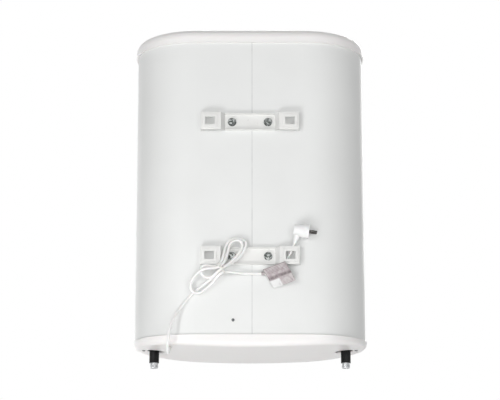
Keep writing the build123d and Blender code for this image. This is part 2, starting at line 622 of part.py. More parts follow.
def make_knob():
    base = PANEL_Y - KNOB_GAP
    face = base - KNOB_HEIGHT
    knob = boss(0, PANEL_Z, base - 7, base, KNOB_RADIUS) + boss(0, PANEL_Z, face + 4, base, KNOB_RADIUS - 3)
    knob = fillet(knob.edges().group_by(Axis.Y)[0], 2)
    grip = box(-GRIP_HALF_WIDTH, GRIP_HALF_WIDTH, face, base,
               PANEL_Z - KNOB_RADIUS + 1, PANEL_Z + KNOB_RADIUS - 1)
    grip = fillet(grip.edges().filter_by(Axis.Z), 1.5)
    knob += grip
    knob -= boss(0, PANEL_Z, base - BUSH_PROUD - 1, base, BUSH_RADIUS + 3)
    return knob - boss(0, PANEL_Z, base - SPINDLE_IN_KNOB, base, SPINDLE_RADIUS)


def make_spindle():
    return boss(0, PANEL_Z, PANEL_Y - KNOB_GAP - SPINDLE_IN_KNOB,
                INNER_FRONT_Y + SPINDLE_BORE - SPINDLE_END_GAP, SPINDLE_RADIUS)


def make_switch_body():
    depth_y = PANEL_Y + SWITCH_DEPTH
    body = switch_opening(PANEL_Y, depth_y, 0)
    body += switch_opening(PANEL_Y - SWITCH_FLANGE, PANEL_Y, SWITCH_LIP)
    well_x, well_z = ROCKER_HALF_WIDTH + ROCKER_GAP, ROCKER_RADIUS + ROCKER_GAP
    body -= box(SWITCH_X - well_x, SWITCH_X + well_x, PANEL_Y - 5, depth_y - SWITCH_FLOOR,
                PANEL_Z - well_z, PANEL_Z + well_z)
    return body - rocker_pin(ROCKER_PIN + RUNNING_CLEARANCE, ROCKER_PIN_LENGTH + 0.2)


def rocker_pin(radius, length):
    reach = ROCKER_HALF_WIDTH + length
    plane = Plane(origin=(SWITCH_X - reach, PANEL_Y + ROCKER_PIVOT, PANEL_Z), z_dir=(1, 0, 0))
    return extrude(plane * Circle(radius), 2 * reach)


def make_rocker():
    """Dished rocker on two pivot stubs, drawn off, with its lower half pressed in."""
    pivot_y = PANEL_Y + ROCKER_PIVOT
    wide, tall = 2 * ROCKER_HALF_WIDTH, 2 * ROCKER_RADIUS
    plane = Plane(origin=(SWITCH_X - ROCKER_HALF_WIDTH, pivot_y, PANEL_Z), z_dir=(1, 0, 0))
    drum = extrude(plane * Circle(ROCKER_RADIUS), wide)
    drum &= box(SWITCH_X - wide, SWITCH_X + wide, pivot_y - ROCKER_FACE, pivot_y + ROCKER_BACK,
                PANEL_Z - tall, PANEL_Z + tall)
    dish_y = pivot_y - ROCKER_FACE + DISH_DEPTH - DISH_RADIUS
    dish = Plane(origin=(SWITCH_X - wide, dish_y, PANEL_Z), z_dir=(1, 0, 0))
    drum -= extrude(dish * Circle(DISH_RADIUS), 2 * wide)
    drum += rocker_pin(ROCKER_PIN, ROCKER_PIN_LENGTH)
    pivot = Axis((SWITCH_X, pivot_y, PANEL_Z), (1, 0, 0))
    return drum.rotate(pivot, ROCKER_TILT)


def make_lamp(side):
    z = PANEL_Z + side * LAMP_HALF_SPACING
    lamp = boss(LAMP_X, z, PANEL_Y - 2, PANEL_Y - 2 + LAMP_LENGTH, LAMP_RADIUS)
    return fillet(lamp.edges().sort_by(Axis.Y)[:1], 1.8)


def make_gauge_case():
    case = boss(GAUGE_X, PANEL_Z, PANEL_Y, PANEL_Y + GAUGE_DEPTH, GAUGE_RADIUS)
    case += boss(GAUGE_X, PANEL_Z, PANEL_Y - GAUGE_RIM_HEIGHT, PANEL_Y, GAUGE_RIM)
    case = fillet(case.edges().group_by(Axis.Y)[0], 1)
    floor_y = PANEL_Y + GAUGE_DEPTH - GAUGE_WALL
    return case - boss(GAUGE_X, PANEL_Z, PANEL_Y - 2 * GAUGE_RIM_HEIGHT, floor_y, GAUGE_RADIUS - GAUGE_WALL)


def gauge_levels():
    """Y of the dial's back and front and of the lens's back and front."""
    dial_back = PANEL_Y + DIAL_DEPTH
    lens_back = PANEL_Y - LENS_INSET
    return dial_back, dial_back - DIAL_THICKNESS, lens_back, lens_back - LENS_THICKNESS


def make_dial():
    dial_back, dial_front, _, _ = gauge_levels()
    dial = boss(GAUGE_X, PANEL_Z, dial_front, dial_back, GAUGE_RADIUS - GAUGE_WALL)
    dial += boss(GAUGE_X, PANEL_Z, dial_back, PANEL_Y + GAUGE_DEPTH - GAUGE_WALL, DIAL_POST_RADIUS)
    return dial - boss(GAUGE_X, PANEL_Z, dial_front - 1, dial_back + 5, NEEDLE_PIN + RUNNING_CLEARANCE)


def make_needle():
    """Pointer at its lowest reading, towards the lower left seen from the room."""
    dial_back, dial_front, _, _ = gauge_levels()
    hub_front = dial_front - 2.2
    needle = boss(GAUGE_X, PANEL_Z, hub_front, dial_front - 0.3, NEEDLE_HUB_RADIUS)
    needle += boss(GAUGE_X, PANEL_Z, hub_front, dial_back + 4.5, NEEDLE_PIN)
    plane = Plane(origin=(GAUGE_X, hub_front + 0.6, PANEL_Z), x_dir=(-1, 0, 0), z_dir=(0, 1, 0))
    blade = make_face(Polyline((-1.3, -NEEDLE_TAIL), (1.3, -NEEDLE_TAIL),
                               (0.35, NEEDLE_LENGTH), (-0.35, NEEDLE_LENGTH), close=True))
    pointer = extrude(plane * blade, NEEDLE_THICKNESS)
    return needle + pointer.rotate(Axis((GAUGE_X, 0, PANEL_Z), (0, 1, 0)), -NEEDLE_REST)


def make_lens():
    _, _, lens_back, lens_front = gauge_levels()
    return boss(GAUGE_X, PANEL_Z, lens_front, lens_back, GAUGE_RADIUS - GAUGE_WALL)


# ---- wiring space --------------------------------------------------------
def wall_block(span, depth, height):
    """Moulded block fixed flat on the inside of the jacket's back."""
    top = BOTTOM_Z + BLOCK_TOP
    return box(span[0], span[1], INNER_REAR_Y - depth, INNER_REAR_Y, top - height, top)


def make_terminal_block():
    face_y = INNER_REAR_Y - BLOCK_DEPTH
    recess = box(TERMINAL_X[0] + 3, TERMINAL_X[1] - 3, face_y, face_y + TERMINAL_RECESS,
                 BLOCK_LOW + 3, BLOCK_LOW + BLOCK_HEIGHT - 3)
    return wall_block(TERMINAL_X, BLOCK_DEPTH, BLOCK_HEIGHT) - recess


def reset_place():
    return CUTOUT_MIDDLE, INNER_REAR_Y - CUTOUT_DEPTH / 2, BLOCK_LOW


def make_cutout():
    x, y, z = reset_place()
    block = wall_block(CUTOUT_X, CUTOUT_DEPTH, BLOCK_HEIGHT)
    return block - post(x, y, z, z + 9, RESET_RADIUS + RUNNING_CLEARANCE)


def make_reset_button():
    x, y, z = reset_place()
    button = post(x, y, z - RESET_PROUD, z + 9 - RESET_TRAVEL - 1, RESET_RADIUS)
    return fillet(button.edges().sort_by(Axis.Z)[:1], 1)


def make_wiring(gland_base):
    """Flexes joining the cord gland, terminal block, cut-out, thermostat and elements."""
    block_top = BLOCK_LOW + BLOCK_HEIGHT
    face_y = INNER_REAR_Y - BLOCK_DEPTH
    recess_y = face_y + TERMINAL_RECESS
    wire_y = INNER_REAR_Y - BLOCK_DEPTH / 2
    wires = []
    for step in (-1, 0, 1):
        entry_x = sum(TERMINAL_X) / 2 + step * 10
        wires.append([(gland_base.X + step * 3.5, gland_base.Y - 0.5, gland_base.Z + 0.5),
                      (gland_base.X + step * 3.5, gland_base.Y - 12, gland_base.Z + 10),
                      (entry_x, wire_y, BLOCK_LOW - 10), (entry_x, wire_y, BLOCK_LOW)])
    for step in (0, 1):
        out_x, in_x = TERMINAL_X[0] + 6 + step * 8, CUTOUT_X[1] - 6 - step * 8
        rise = block_top + 8 + step * 5
        wires.append([(out_x, wire_y, block_top), (out_x, wire_y, rise),
                      (in_x, wire_y, rise), (in_x, wire_y, block_top)])
    element_low = FLANGE_Z - ELEMENT_TAIL
    for side in SIDES:
        x = side * TANK_X + ELEMENT_OFFSET
        y = MID_Y + ELEMENT_HALF_SPACING
        from_x = CUTOUT_MIDDLE - 8 if side < 0 else TERMINAL_X[0] + 12
        from_y = INNER_REAR_Y - CUTOUT_DEPTH if side < 0 else recess_y
        wires.append([(from_x, from_y, BLOCK_Z - 3), (from_x, from_y - 25, BLOCK_Z - 3),
                      (x, y, element_low - 9), (x, y, element_low)])
    width, depth, height = THERMOSTAT_SIZE
    feed_x, feed_y = width / 4, INNER_FRONT_Y + depth / 2
    entry = sum(TERMINAL_X) / 2 + 4
    wires.append([(feed_x, feed_y, PANEL_Z - height / 2), (feed_x, feed_y, BLOCK_LOW - 8),
                  (entry, face_y - 20, BLOCK_LOW + 6), (entry, recess_y, BLOCK_LOW + 6)])
    return [tube(points, WIRE_RADIUS, 3.5) for points in wires]


def make_capillary():
    """Thin tube from the thermostat to the hot tank's thermometer pocket."""
    width, depth, height = THERMOSTAT_SIZE
    x, y = -width / 4, INNER_FRONT_Y + depth / 2
    end_x, end_y, low = -TANK_X, MID_Y + WELL_OFFSET, FLANGE_Z - ELEMENT_TAIL - 5
    bulb_low = FLANGE_Z + BULB_ABOVE_FLANGE
    points = [(x, y, PANEL_Z - height / 2), (x, y, low - 2), (end_x, end_y, low), (end_x, end_y, bulb_low)]
    line = tube(points, WIRE_RADIUS, 4)
    return line + post(end_x, end_y, bulb_low, bulb_low + BULB_LENGTH, WELL_BORE - BULB_CLEARANCE)


# ---- mains cord ----------------------------------------------------------
# The lead leaves the gland rearward and down, turns up behind the cap and
# lies on the jacket until it enters the tied hank.
LEAD_ROUTE = [(196, -60.6, -556.6), (196, -42.5, -567), (196, -21.5, -567.2), (196, -3.4, -556.8),
              (195, 7, -538.6), (192, 7.2, -518), (186.5, 1.5, -498.5), (178.5, -6, -480.5),
              (168, -12.5, -463.5), (156, -15.8, -447), (143, -16, -432), (130, -15.4, -419)]
# The tail leaves the hank's waist, passes under the tag and goes up behind
# the lower bracket's far pad to the plug.
TAIL_ROUTE = [(63.5, 4.6, -377.5), (46, 1, -376.5), (27.5, -6.5, -378), (4, -12.5, -378.5), (-20, -15, -377.5),
              (-44, -15, -378.5), (-65, -15, -371), (-80, -15.4, -356), (-92, -15.4, -338.5),
              (-101.5, -14.9, -321.5), (-107.5, -9.5, -304)]
# The hank seen from the wall, as x and z: the wide lobe hangs below the tie and
# the narrow one lies over the lower bracket.
HANK_OUTLINE = [(146.7, -408), (142.5, -395), (133.5, -381), (123.5, -373), (121.5, -364.5), (112.5, -357.6),
                (99, -357.9), (86, -360.5), (76.5, -357), (71.5, -350.5), (67.5, -338.5), (65.3, -326),
                (62.3, -312), (55.5, -299), (45, -291), (31.5, -288.5), (17.5, -290.5), (6.8, -299.5),
                (5.5, -313), (12, -327.5), (22, -340.5), (33, -350.5), (44, -358.5), (52, -364.5),
                (56, -371), (58.5, -379), (64, -384.5), (70.5, -387.5), (77.5, -393.5), (87, -404),
                (97, -413.5), (107, -422.5), (118, -430), (132.5, -430.7), (143.7, -422.5)]
# Its underside and its top, as z and y: it lies on the jacket, then on the web.
HANK_UNDERSIDE = [(-440, -19.7), (-414, -19.7), (-405, -15.3), (-394, -10.8), (-382, -6), (-374, -4),
                  (-362, -3.5), (-356, -7), (-350, -9.5), (-316, -9.5), (-308, -12), (-300, -15.5), (-280, -15.5)]
HANK_TOP = [(-440, -4.3), (-420, -3), (-400, 3.4), (-388, 9), (-380, 15.1), (-362, 15.1), (-352, 11.5),
            (-340, 7), (-322, 2), (-304, -0.8), (-280, -1.5)]
# What it must clear on the bracket, as x and y: web, bolt head, step and pad.
HANK_OVER_BRACKET = [(-10, -21), (130, -21), (130, -0.6), (71, -0.6), (66.5, -3.2), (58, -8.2), (50, -9.5), (-10, -9.5)]
HANK_GAP = 0.3
TIE_PLACE = (69.0, -370.0)          # x and z of the tie
TIE_ANGLE = 38.2                    # rise of the tied strands towards -X
WAIST_LOW, WAIST_HIGH = -13.0, 14.2      # the tied strands across their run
WAIST_UNDERSIDE, WAIST_TOP = 0.9, 15.1
GLAND_LENGTH = 30.0
GLAND_TIP_RADIUS = 4.8
GLAND_BASE_RADIUS = 7.5
TAG_CORNER = (-31, -9.9, -369)
TAG_ALONG = (-53, 15.8, 17)
TAG_DOWN = (-26, -5.7, -45)
TAG_RING_BORE = CORD_RADIUS + 0.3
TAG_RING_RADIUS = TAG_RING_BORE + 0.9
TAG_RING_LENGTH = 8.0


def bend_radii(route):
    """Largest tangent arcs that the runs of a route allow, one for each corner."""
    radii = []
    for before, corner, after in zip(route, route[1:], route[2:]):
        run_in = Vector(*corner) - Vector(*before)
        run_out = Vector(*after) - Vector(*corner)
        half_turn = radians(run_in.get_angle(run_out)) / 2
        radii.append(0.45 * min(run_in.length, run_out.length) / tan(half_turn))
    return radii


def make_cord(route, label):
    radii = bend_radii(route)
    cord = tube(route, CORD_RADIUS, radii)
    path = FilletPolyline(*route, radius=radii)
    section = pi * CORD_RADIUS**2
    print(label, "radii", [round(r) for r in radii], "length", round(path.length, 1),
          "volume", round(cord.volume), "section x length", round(section * path.length))
    return cord


def at_waist(length, grow):
    """Block round the tied strands, as long as given along their run."""
    rise = radians(TIE_ANGLE)
    plane = Plane(origin=(TIE_PLACE[0], 0, TIE_PLACE[1]), x_dir=(-cos(rise), 0, sin(rise)), z_dir=(0, 1, 0))
    across, deep = WAIST_HIGH - WAIST_LOW, WAIST_TOP - WAIST_UNDERSIDE
    flip = 1 if plane.y_dir.Z > 0 else -1
    middle = Pos(0, flip * (WAIST_HIGH + WAIST_LOW) / 2, (WAIST_TOP + WAIST_UNDERSIDE) / 2)
    return plane * middle * Box(length, across + 2 * grow, deep + 2 * grow)


def make_hank():
    """Outer shape of the folded cord: two flat lobes drawn in where the tie sits."""
    seen = make_face(Spline(*[(x, -25, z) for x, z in HANK_OUTLINE], periodic=True))
    side = [(0, y, z) for z, y in HANK_UNDERSIDE + HANK_TOP[::-1]]
    hank = extrude(seen, 50, dir=(0, 1, 0)) & extrude(make_face(Polyline(*side, close=True)), 200, dir=(1, 0, 0))
    low, high = LOWER_HOOK_Z - PAD_HALF_HEIGHT, LOWER_HOOK_Z + WEB_HALF_HEIGHT
    bracket = [(x, y, low - HANK_GAP) for x, y in HANK_OVER_BRACKET]
    hank -= extrude(make_face(Polyline(*bracket, close=True)), high - low + 2 * HANK_GAP, dir=(0, 0, 1))
    return hank - (at_waist(TIE_WIDTH + 2 * HANK_GAP, 30) - at_waist(TIE_WIDTH + 2 * HANK_GAP, 0))


def make_tie():
    outer = at_waist(TIE_WIDTH, HANK_GAP + TIE_THICKNESS)
    return outer - at_waist(TIE_WIDTH, HANK_GAP)


def make_gland():
    tip, first = Vector(*LEAD_ROUTE[0]), Vector(*LEAD_ROUTE[1])
    heading = (first - tip).normalized()
    base = tip - heading * GLAND_LENGTH
    plane = Plane(origin=base, z_dir=heading)
    body = loft([plane * Circle(GLAND_BASE_RADIUS), plane.offset(GLAND_LENGTH) * Circle(GLAND_TIP_RADIUS)])
    collar = extrude(plane * Circle(GLAND_BASE_RADIUS + 1.5), 3)
    return body + collar, base


def plug_frame():
    """Frame on the plug's face: Z along the pins, Y up the body, X towards the jacket or away."""
    tilt = radians(PLUG_TILT)
    along = Vector(-cos(tilt), 0, -sin(tilt))
    body_centre = Vector(-124.5, REAR_Y + 0.3 + PLUG_FACE_RADIUS, -275)
    return Plane(origin=body_centre + along * (PLUG_LENGTH / 2), x_dir=(0, 1, 0), z_dir=along)


def make_plug():
    face = plug_frame()
    body = extrude(face.offset(-PLUG_FACE_DEPTH) * Circle(PLUG_FACE_RADIUS), PLUG_FACE_DEPTH)
    body += loft([face.offset(-PLUG_FACE_DEPTH) * Circle(PLUG_FACE_RADIUS - 1),
                  face.offset(-PLUG_LENGTH) * Circle(PLUG_BACK_RADIUS)])
    end, before = Vector(*TAIL_ROUTE[-1]), Vector(*TAIL_ROUTE[-2])
    heading = (end - before).normalized()
    neck_plane = Plane(origin=end, z_dir=heading)
    neck = loft([neck_plane * Circle(CORD_RADIUS + 1.2), neck_plane.offset(24) * Circle(7.5)])
    body += neck
    for up in SIDES:
        notch = face.offset(-CLIP_LENGTH) * Pos(0, up * (PLUG_FACE_RADIUS - CLIP_NOTCH / 2 + 1), 0)
        body -= notch * Box(CLIP_WIDTH + 1, CLIP_NOTCH + 2, CLIP_LENGTH, align=UPWARD)
    for across in SIDES:
        body -= face.offset(-PIN_ROOT) * Pos(across * PIN_HALF_SPACING, 0, 0) * Cylinder(
            PIN_RADIUS, PIN_ROOT, align=UPWARD)
    return body


def make_plug_pins():
    face = plug_frame()
    pins = []
    for across in SIDES:
        pin = face.offset(-PIN_ROOT) * Pos(across * PIN_HALF_SPACING, 0, 0) * Cylinder(
            PIN_RADIUS, PIN_ROOT + PIN_LENGTH, align=UPWARD)
        tip = [edge for edge in pin.edges() if face.to_local_coords(edge).center().Z > PIN_LENGTH - 1]
        pins.append(fillet(tip, 1.6))
    return pins


def make_plug_clips():
    face = plug_frame()
    middle = PLUG_FACE_RADIUS - CLIP_NOTCH + CLIP_THICKNESS / 2
    return [face.offset(-CLIP_LENGTH) * Pos(0, up * middle, 0) * Box(
        CLIP_WIDTH, CLIP_THICKNESS, CLIP_LENGTH, align=UPWARD) for up in SIDES]


def make_tag():
    """Foil flag label with a short wrap round the tail."""
    corner, along, down = Vector(*TAG_CORNER), Vector(*TAG_ALONG), Vector(*TAG_DOWN)
    normal = down.cross(along).normalized()
    face = make_face(Polyline(corner, corner + along, corner + along + down, corner + down, close=True))
    sheet = extrude(face, TAG_THICKNESS, dir=normal if normal.Y > 0 else normal * -1)
    start, end = Vector(*TAIL_ROUTE[4]), Vector(*TAIL_ROUTE[5])
    run = (end - start).normalized()
    ring_plane = Plane(origin=start + run * TAG_RING_LENGTH, z_dir=run)
    ring = extrude(ring_plane * Circle(TAG_RING_RADIUS), TAG_RING_LENGTH)
    bridge_place = ring_plane.origin + run * (TAG_RING_LENGTH / 2) + Vector(0, TAG_RING_RADIUS, 0)
    bridge = Pos(*bridge_place) * Box(7, 3.4, 6)
    bore = extrude(ring_plane.offset(-TAG_RING_LENGTH / 2) * Circle(TAG_RING_BORE), 2 * TAG_RING_LENGTH)
    return sheet + (ring + bridge - bore)


# ---- build ---------------------------------------------------------------
def main():
    gland, gland_base = make_gland()
    jacket = make_jacket()
    save("outer_jacket", jacket)
    save("top_cap", make_top_cap())
    save("bottom_cap", make_bottom_cap(gland))
    save("cap_screws", *make_cap_screws())
    screw_x, screw_rise = JACKET_SCREW
    screw_z = BOTTOM_Z + screw_rise
    screw = boss(screw_x, screw_z, INNER_REAR_Y - 4.5, REAR_Y, SCREW_RADIUS)
    save("jacket_screw", screw + boss(screw_x, screw_z, REAR_Y, REAR_Y + 2, SCREW_HEAD - 0.3))

    rails = {}
    for name, z in (("upper", 0), ("lower", LOWER_HOOK_Z)):
        save(f"{name}_bracket", make_bracket(z))
        rails[name] = make_rail(z, jacket)
        save(f"{name}_tank_rail", rails[name])
    places = bolt_places()
    save("bracket_bolts", *[make_bracket_bolt(x, z) for x, z in places])
    save("bracket_washers", *[make_washer(x, z) for x, z in places])
    save("rail_weld_nuts", *[make_weld_nut(x, z) for x, z in places])

    pipe_solids = {side: tube(pipe_route(side), PIPE_RADIUS, PIPE_BEND) for side in SIDES}
    pipe_bores = {side: tube(pipe_route(side), PIPE_BORE, PIPE_BEND) for side in SIDES}
    transfer = tube(transfer_route(), TRANSFER_RADIUS, TRANSFER_BEND)
    save("transfer_pipe", transfer - tube(transfer_route(), TRANSFER_BORE, TRANSFER_BEND))
    tank_forms = []
    for name, side in (("cold", 1), ("hot", -1)):
        x = side * TANK_X
        save(f"{name}_tank", make_tank(x, [pipe_solids[side], transfer]))
        tank_forms.append(tank_form(x, TANK_RADIUS, TANK_HEAD, TANK_TOP, TANK_BOTTOM))
        save(f"{name}_flange", make_flange(x))
        save(f"{name}_flange_gasket", make_gasket(x))
        save(f"{name}_flange_bolts", *[make_flange_bolt(*place) for place in flange_bolt_places(x)])
        save(f"{name}_heating_element", make_element(x))
        save(f"{name}_anode_rod", make_anode(x))
        save(f"{name}_thermometer_pocket", make_well(x))
        save(f"{name}_pipe_sleeve", make_sleeve(side))
    save("cold_inlet_pipe", pipe_solids[1] - pipe_bores[1] - turned_end(1))
    save("hot_outlet_pipe", pipe_solids[-1] - pipe_bores[-1] - turned_end(-1))
    save("inlet_diffuser", make_diffuser())
    save("outlet_standpipe", make_standpipe())

    foam = body_prism(-JACKET_WALL, BOTTOM_Z + FOAM_ABOVE_BOTTOM, TOP_Z - FOAM_BELOW_TOP)
    for solid in tank_forms + [transfer, jacket, *rails.values()]:
        foam -= solid
    for x, z in places:
        foam -= boss(x, z, INNER_REAR_Y - RAIL_THICKNESS - NUT_HEIGHT - 4, INNER_REAR_Y, NUT_FLATS * 0.6)
    for side in SIDES:
        spigot_x = side * (TANK_X + SPIGOT_OFFSET)
        foam -= post(spigot_x, MID_Y, BOTTOM_Z, PIPE_TOP + SOCKET_DEPTH, SOCKET_RADIUS + SLEEVE_CLEARANCE)
    pocket_depth = THERMOSTAT_SIZE[1] + 6
    foam -= box(-PANEL_WIDTH / 2, PANEL_WIDTH / 2, FRONT_Y, INNER_FRONT_Y + pocket_depth,
                BOTTOM_Z, PANEL_Z + PANEL_HEIGHT / 2)
    save("foam_insulation", foam)

    save("control_panel", make_bezel())
    save("thermostat", make_thermostat())
    save("temperature_knob", make_knob())
    save("knob_spindle", make_spindle())
    save("switch_body", make_switch_body())
    save("power_rocker", make_rocker())
    save("power_lamp", make_lamp(1))
    save("heating_lamp", make_lamp(-1))
    save("thermometer_case", make_gauge_case())
    save("thermometer_dial", make_dial())
    save("thermometer_needle", make_needle())
    save("thermometer_lens", make_lens())

    save("terminal_block", make_terminal_block())
    save("thermal_cutout", make_cutout())
    save("reset_button", make_reset_button())
    save("internal_wiring", *make_wiring(gland_base))
    save("thermostat_capillary", make_capillary())

    hank = make_hank()
    save("cord_gland", gland)
    save("cord_hank", hank)
    save("cord_lead", make_cord(LEAD_ROUTE, "lead") - hank)
    save("cord_tail", make_cord(TAIL_ROUTE, "tail") - hank - make_tie())
    save("cord_tie", make_tie())
    save("cord_tag", make_tag())
    save("plug_body", make_plug())
    save("plug_pins", *make_plug_pins())
    save("plug_earth_clips", *make_plug_clips())


main()
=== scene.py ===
"""Tank water heater: finishes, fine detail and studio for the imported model."""

import logging
from dataclasses import dataclass
from enum import Enum
from math import cos, pi, radians, sin, tau

import bmesh
import bpy
from mathutils import Matrix, Vector, noise


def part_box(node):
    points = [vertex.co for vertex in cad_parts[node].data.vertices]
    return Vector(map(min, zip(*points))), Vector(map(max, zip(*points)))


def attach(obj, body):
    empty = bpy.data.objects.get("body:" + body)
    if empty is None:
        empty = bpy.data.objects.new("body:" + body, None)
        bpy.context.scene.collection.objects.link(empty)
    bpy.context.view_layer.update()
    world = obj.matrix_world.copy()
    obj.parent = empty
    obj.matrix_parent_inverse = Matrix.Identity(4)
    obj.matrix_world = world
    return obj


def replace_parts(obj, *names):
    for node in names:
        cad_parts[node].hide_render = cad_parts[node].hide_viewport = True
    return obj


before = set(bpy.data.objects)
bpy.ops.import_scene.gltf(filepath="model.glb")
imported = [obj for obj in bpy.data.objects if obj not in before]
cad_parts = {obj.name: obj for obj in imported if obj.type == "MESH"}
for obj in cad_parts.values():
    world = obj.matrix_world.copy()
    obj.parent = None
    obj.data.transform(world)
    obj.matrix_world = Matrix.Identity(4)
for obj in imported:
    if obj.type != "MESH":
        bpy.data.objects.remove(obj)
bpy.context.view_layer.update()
log = logging.getLogger("heater")

Tint = tuple[int, int, int]
Point = tuple[float, float, float]
Socket = bpy.types.NodeSocket
Value = Socket | float | tuple[float, ...]
Material = bpy.types.Material
Object = bpy.types.Object
Mesh = bmesh.types.BMesh
Ring = list[bmesh.types.BMVert]
Stroke = tuple[float, float, float, float]

ACROSS, BACK, UP = Vector((1, 0, 0)), Vector((0, 1, 0)), Vector((0, 0, 1))
WHITE = (1.0, 1.0, 1.0, 1.0)


def shade(tint: Tint) -> tuple[float, ...]:
    """Turn a colour as it is seen on a screen into the linear one that a shader takes.

    Args:
        tint: red, green and blue, each from 0 to 255.

    Returns:
        The linear colour with full opacity.
    """
    def linear(level: float) -> float:
        """One channel, by the curve that screens share."""
        return level / 12.92 if level <= 0.04045 else ((level + 0.055) / 1.055) ** 2.4

    return (*(linear(level / 255) for level in tint), 1.0)


class Body(Enum):
    """Bodies of the model that built pieces ride on."""

    HEATER = "heater"
    KNOB = "knob"


# ---- shader building ----
class Graph:
    """Nodes of a material or of the surroundings."""

    def __init__(self, tree: bpy.types.NodeTree) -> None:
        """Start with an empty tree."""
        self.tree = tree
        tree.nodes.clear()

    def feed(self, socket: Socket, value: Value) -> None:
        """Link an input to a source, or set it to a value that is the same all over.

        Args:
            socket: the input.
            value: its source or its value.
        """
        if isinstance(value, Socket):
            self.tree.links.new(value, socket)
        else:
            socket.default_value = value

    def fill(self, node: bpy.types.Node, **named: Value) -> None:
        """Feed a node's inputs by name; underscores stand for spaces."""
        for name, value in named.items():
            self.feed(node.inputs[name.replace("_", " ")], value)

    def add(self, kind: str, *levels: Value, **named: Value) -> bpy.types.Node:
        """Add a node.

        Args:
            kind: its type, without the prefix that all shader nodes have.
            levels: what goes into its first inputs, in order.
            named: what goes into inputs by name.

        Returns:
            The node.
        """
        node = self.tree.nodes.new(f"ShaderNode{kind}")
        for socket, value in zip(node.inputs, levels):
            self.feed(socket, value)
        self.fill(node, **named)
        return node

    def math(self, operation: str, *levels: Value) -> Socket:
        """Result of one operation on levels or numbers.

        Args:
            operation: what is done.
            levels: what it is done to.

        Returns:
            The result.
        """
        node = self.add("Math", *levels)
        node.operation = operation
        return node.outputs[0]

    def product(self, first: Socket, *others: Socket) -> Socket:
        """Product of levels.

        Args:
            first, others: the levels.

        Returns:
            Their product.
        """
        for level in others:
            first = self.math("MULTIPLY", first, level)
        return first

    def spread(self, level: Socket, low: float, high: float, start: float = 0.3,
               end: float = 0.7) -> Socket:
        """Map a level from start..end to low..high, kept inside.

        Args:
            level: what is mapped.
            low, high: what start and end turn into.
            start, end: the span of the level that counts.

        Returns:
            The new level.
        """
        node = self.add("MapRange", Value=level, From_Min=start, From_Max=end, To_Min=low,
                        To_Max=high)
        return node.outputs["Result"]

    def seen_directly(self) -> Socket:
        """Level that is 1 for rays from the camera, a mirror or a clear piece.

        Returns:
            The level, 0 for all other rays.
        """
        path = self.add("LightPath").outputs
        mirrored = self.math("MAXIMUM", path["Is Camera Ray"], path["Is Glossy Ray"])
        return self.math("MAXIMUM", mirrored, path["Is Transmission Ray"])


class Recipe(Graph):
    """A material under construction: one Principled shader and its textures."""

    colour_mix_inputs = (0, 6, 7)
    colour_mix_output = 2
    bump_strength = 0.6

    def __init__(self, name: str) -> None:
        """Start a material of this name.

        Args:
            name: the material's name.
        """
        self.material = bpy.data.materials.new(name)
        self.material.use_nodes = True
        super().__init__(self.material.node_tree)
        self.shader = self.add("BsdfPrincipled")
        self.add("OutputMaterial", Surface=self.shader.outputs["BSDF"])
        self.place = self.add("TexCoord").outputs["Object"]

    def give(self, **named: Value) -> None:
        """Feed the shader's own inputs."""
        self.fill(self.shader, **named)

    def clouds(self, scale: float, detail: float = 3.0, stretch: Point = (1, 1, 1),
               warp: float = 0.0) -> Socket:
        """Soft random pattern.

        Args:
            scale: features for each metre.
            detail: octaves of finer pattern.
            stretch: scale along each axis, for streaks.
            warp: how far the pattern folds into itself.

        Returns:
            The pattern's level, about 0.3 to 0.7.
        """
        spot = self.add("Mapping", Vector=self.place, Scale=stretch).outputs["Vector"]
        node = self.add("TexNoise", Vector=spot, Scale=scale, Detail=detail, Distortion=warp)
        return node.outputs["Fac"]

    def cells(self, scale: float) -> Socket:
        """Distance from the middle of cells, for grain and foam; scale is cells for each metre."""
        node = self.add("TexVoronoi", Vector=self.place, Scale=scale)
        return node.outputs["Distance"]

    def blend(self, level: Socket, first: Tint, second: Tint, start: float = 0.3,
              end: float = 0.7) -> Socket:
        """Colour that runs from first to second as a level goes from start to end.

        Args:
            level: the pattern.
            first, second: the two colours.
            start, end: where the first ends and the second begins.

        Returns:
            The colour.
        """
        node = self.add("ValToRGB", Fac=level)
        low, high = node.color_ramp.elements
        low.position, low.color = start, shade(first)
        high.position, high.color = end, shade(second)
        return node.outputs["Color"]

    def mixed(self, level: Socket, first: Socket, second: Socket) -> Socket:
        """Mix two colours by a level.

        Args:
            level: share of the second.
            first, second: the colours.

        Returns:
            The mixed colour.
        """
        node = self.add("Mix")
        node.data_type = "RGBA"
        for index, source in zip(self.colour_mix_inputs, (level, first, second)):
            self.feed(node.inputs[index], source)
        return node.outputs[self.colour_mix_output]

    def lines(self, level: Socket, count: float) -> Socket:
        """Fine even lines across a level that runs from 0 to 1; 1 in the middle of each."""
        fold = self.math("PINGPONG", self.math("MULTIPLY", level, count), 0.5)
        return self.spread(fold, 0.0, 1.0, 0.32, 0.42)

    def coordinate(self, axis: str) -> Socket:
        """One coordinate of the surface, in metres."""
        return self.add("SeparateXYZ", Vector=self.place).outputs[axis]

    def dull(self, scale: float, detail: float, low: float, high: float) -> None:
        """Let the roughness drift between two levels in soft patches."""
        self.give(Roughness=self.spread(self.clouds(scale, detail), low, high))

    def relief(self, level: Socket, depth: float, rounding: float = 0.0,
               under: Socket | None = None) -> Socket:
        """Bump from a level, over rounded edges or another bump.

        Args:
            level: the pattern.
            depth: height of the pattern in metres.
            rounding: radius that sharp edges are shaded with, in metres.
            under: a coarser bump that this one lies on.

        Returns:
            The surface normal, already linked to the shader.
        """
        node = self.add("Bump", Height=level, Distance=depth, Strength=self.bump_strength)
        if rounding:
            soft = self.add("Bevel", Radius=rounding)
            soft.samples = 4
            under = soft.outputs["Normal"]
        if under is not None:
            self.fill(node, Normal=under)
        self.give(Normal=node.outputs["Normal"])
        return node.outputs["Normal"]


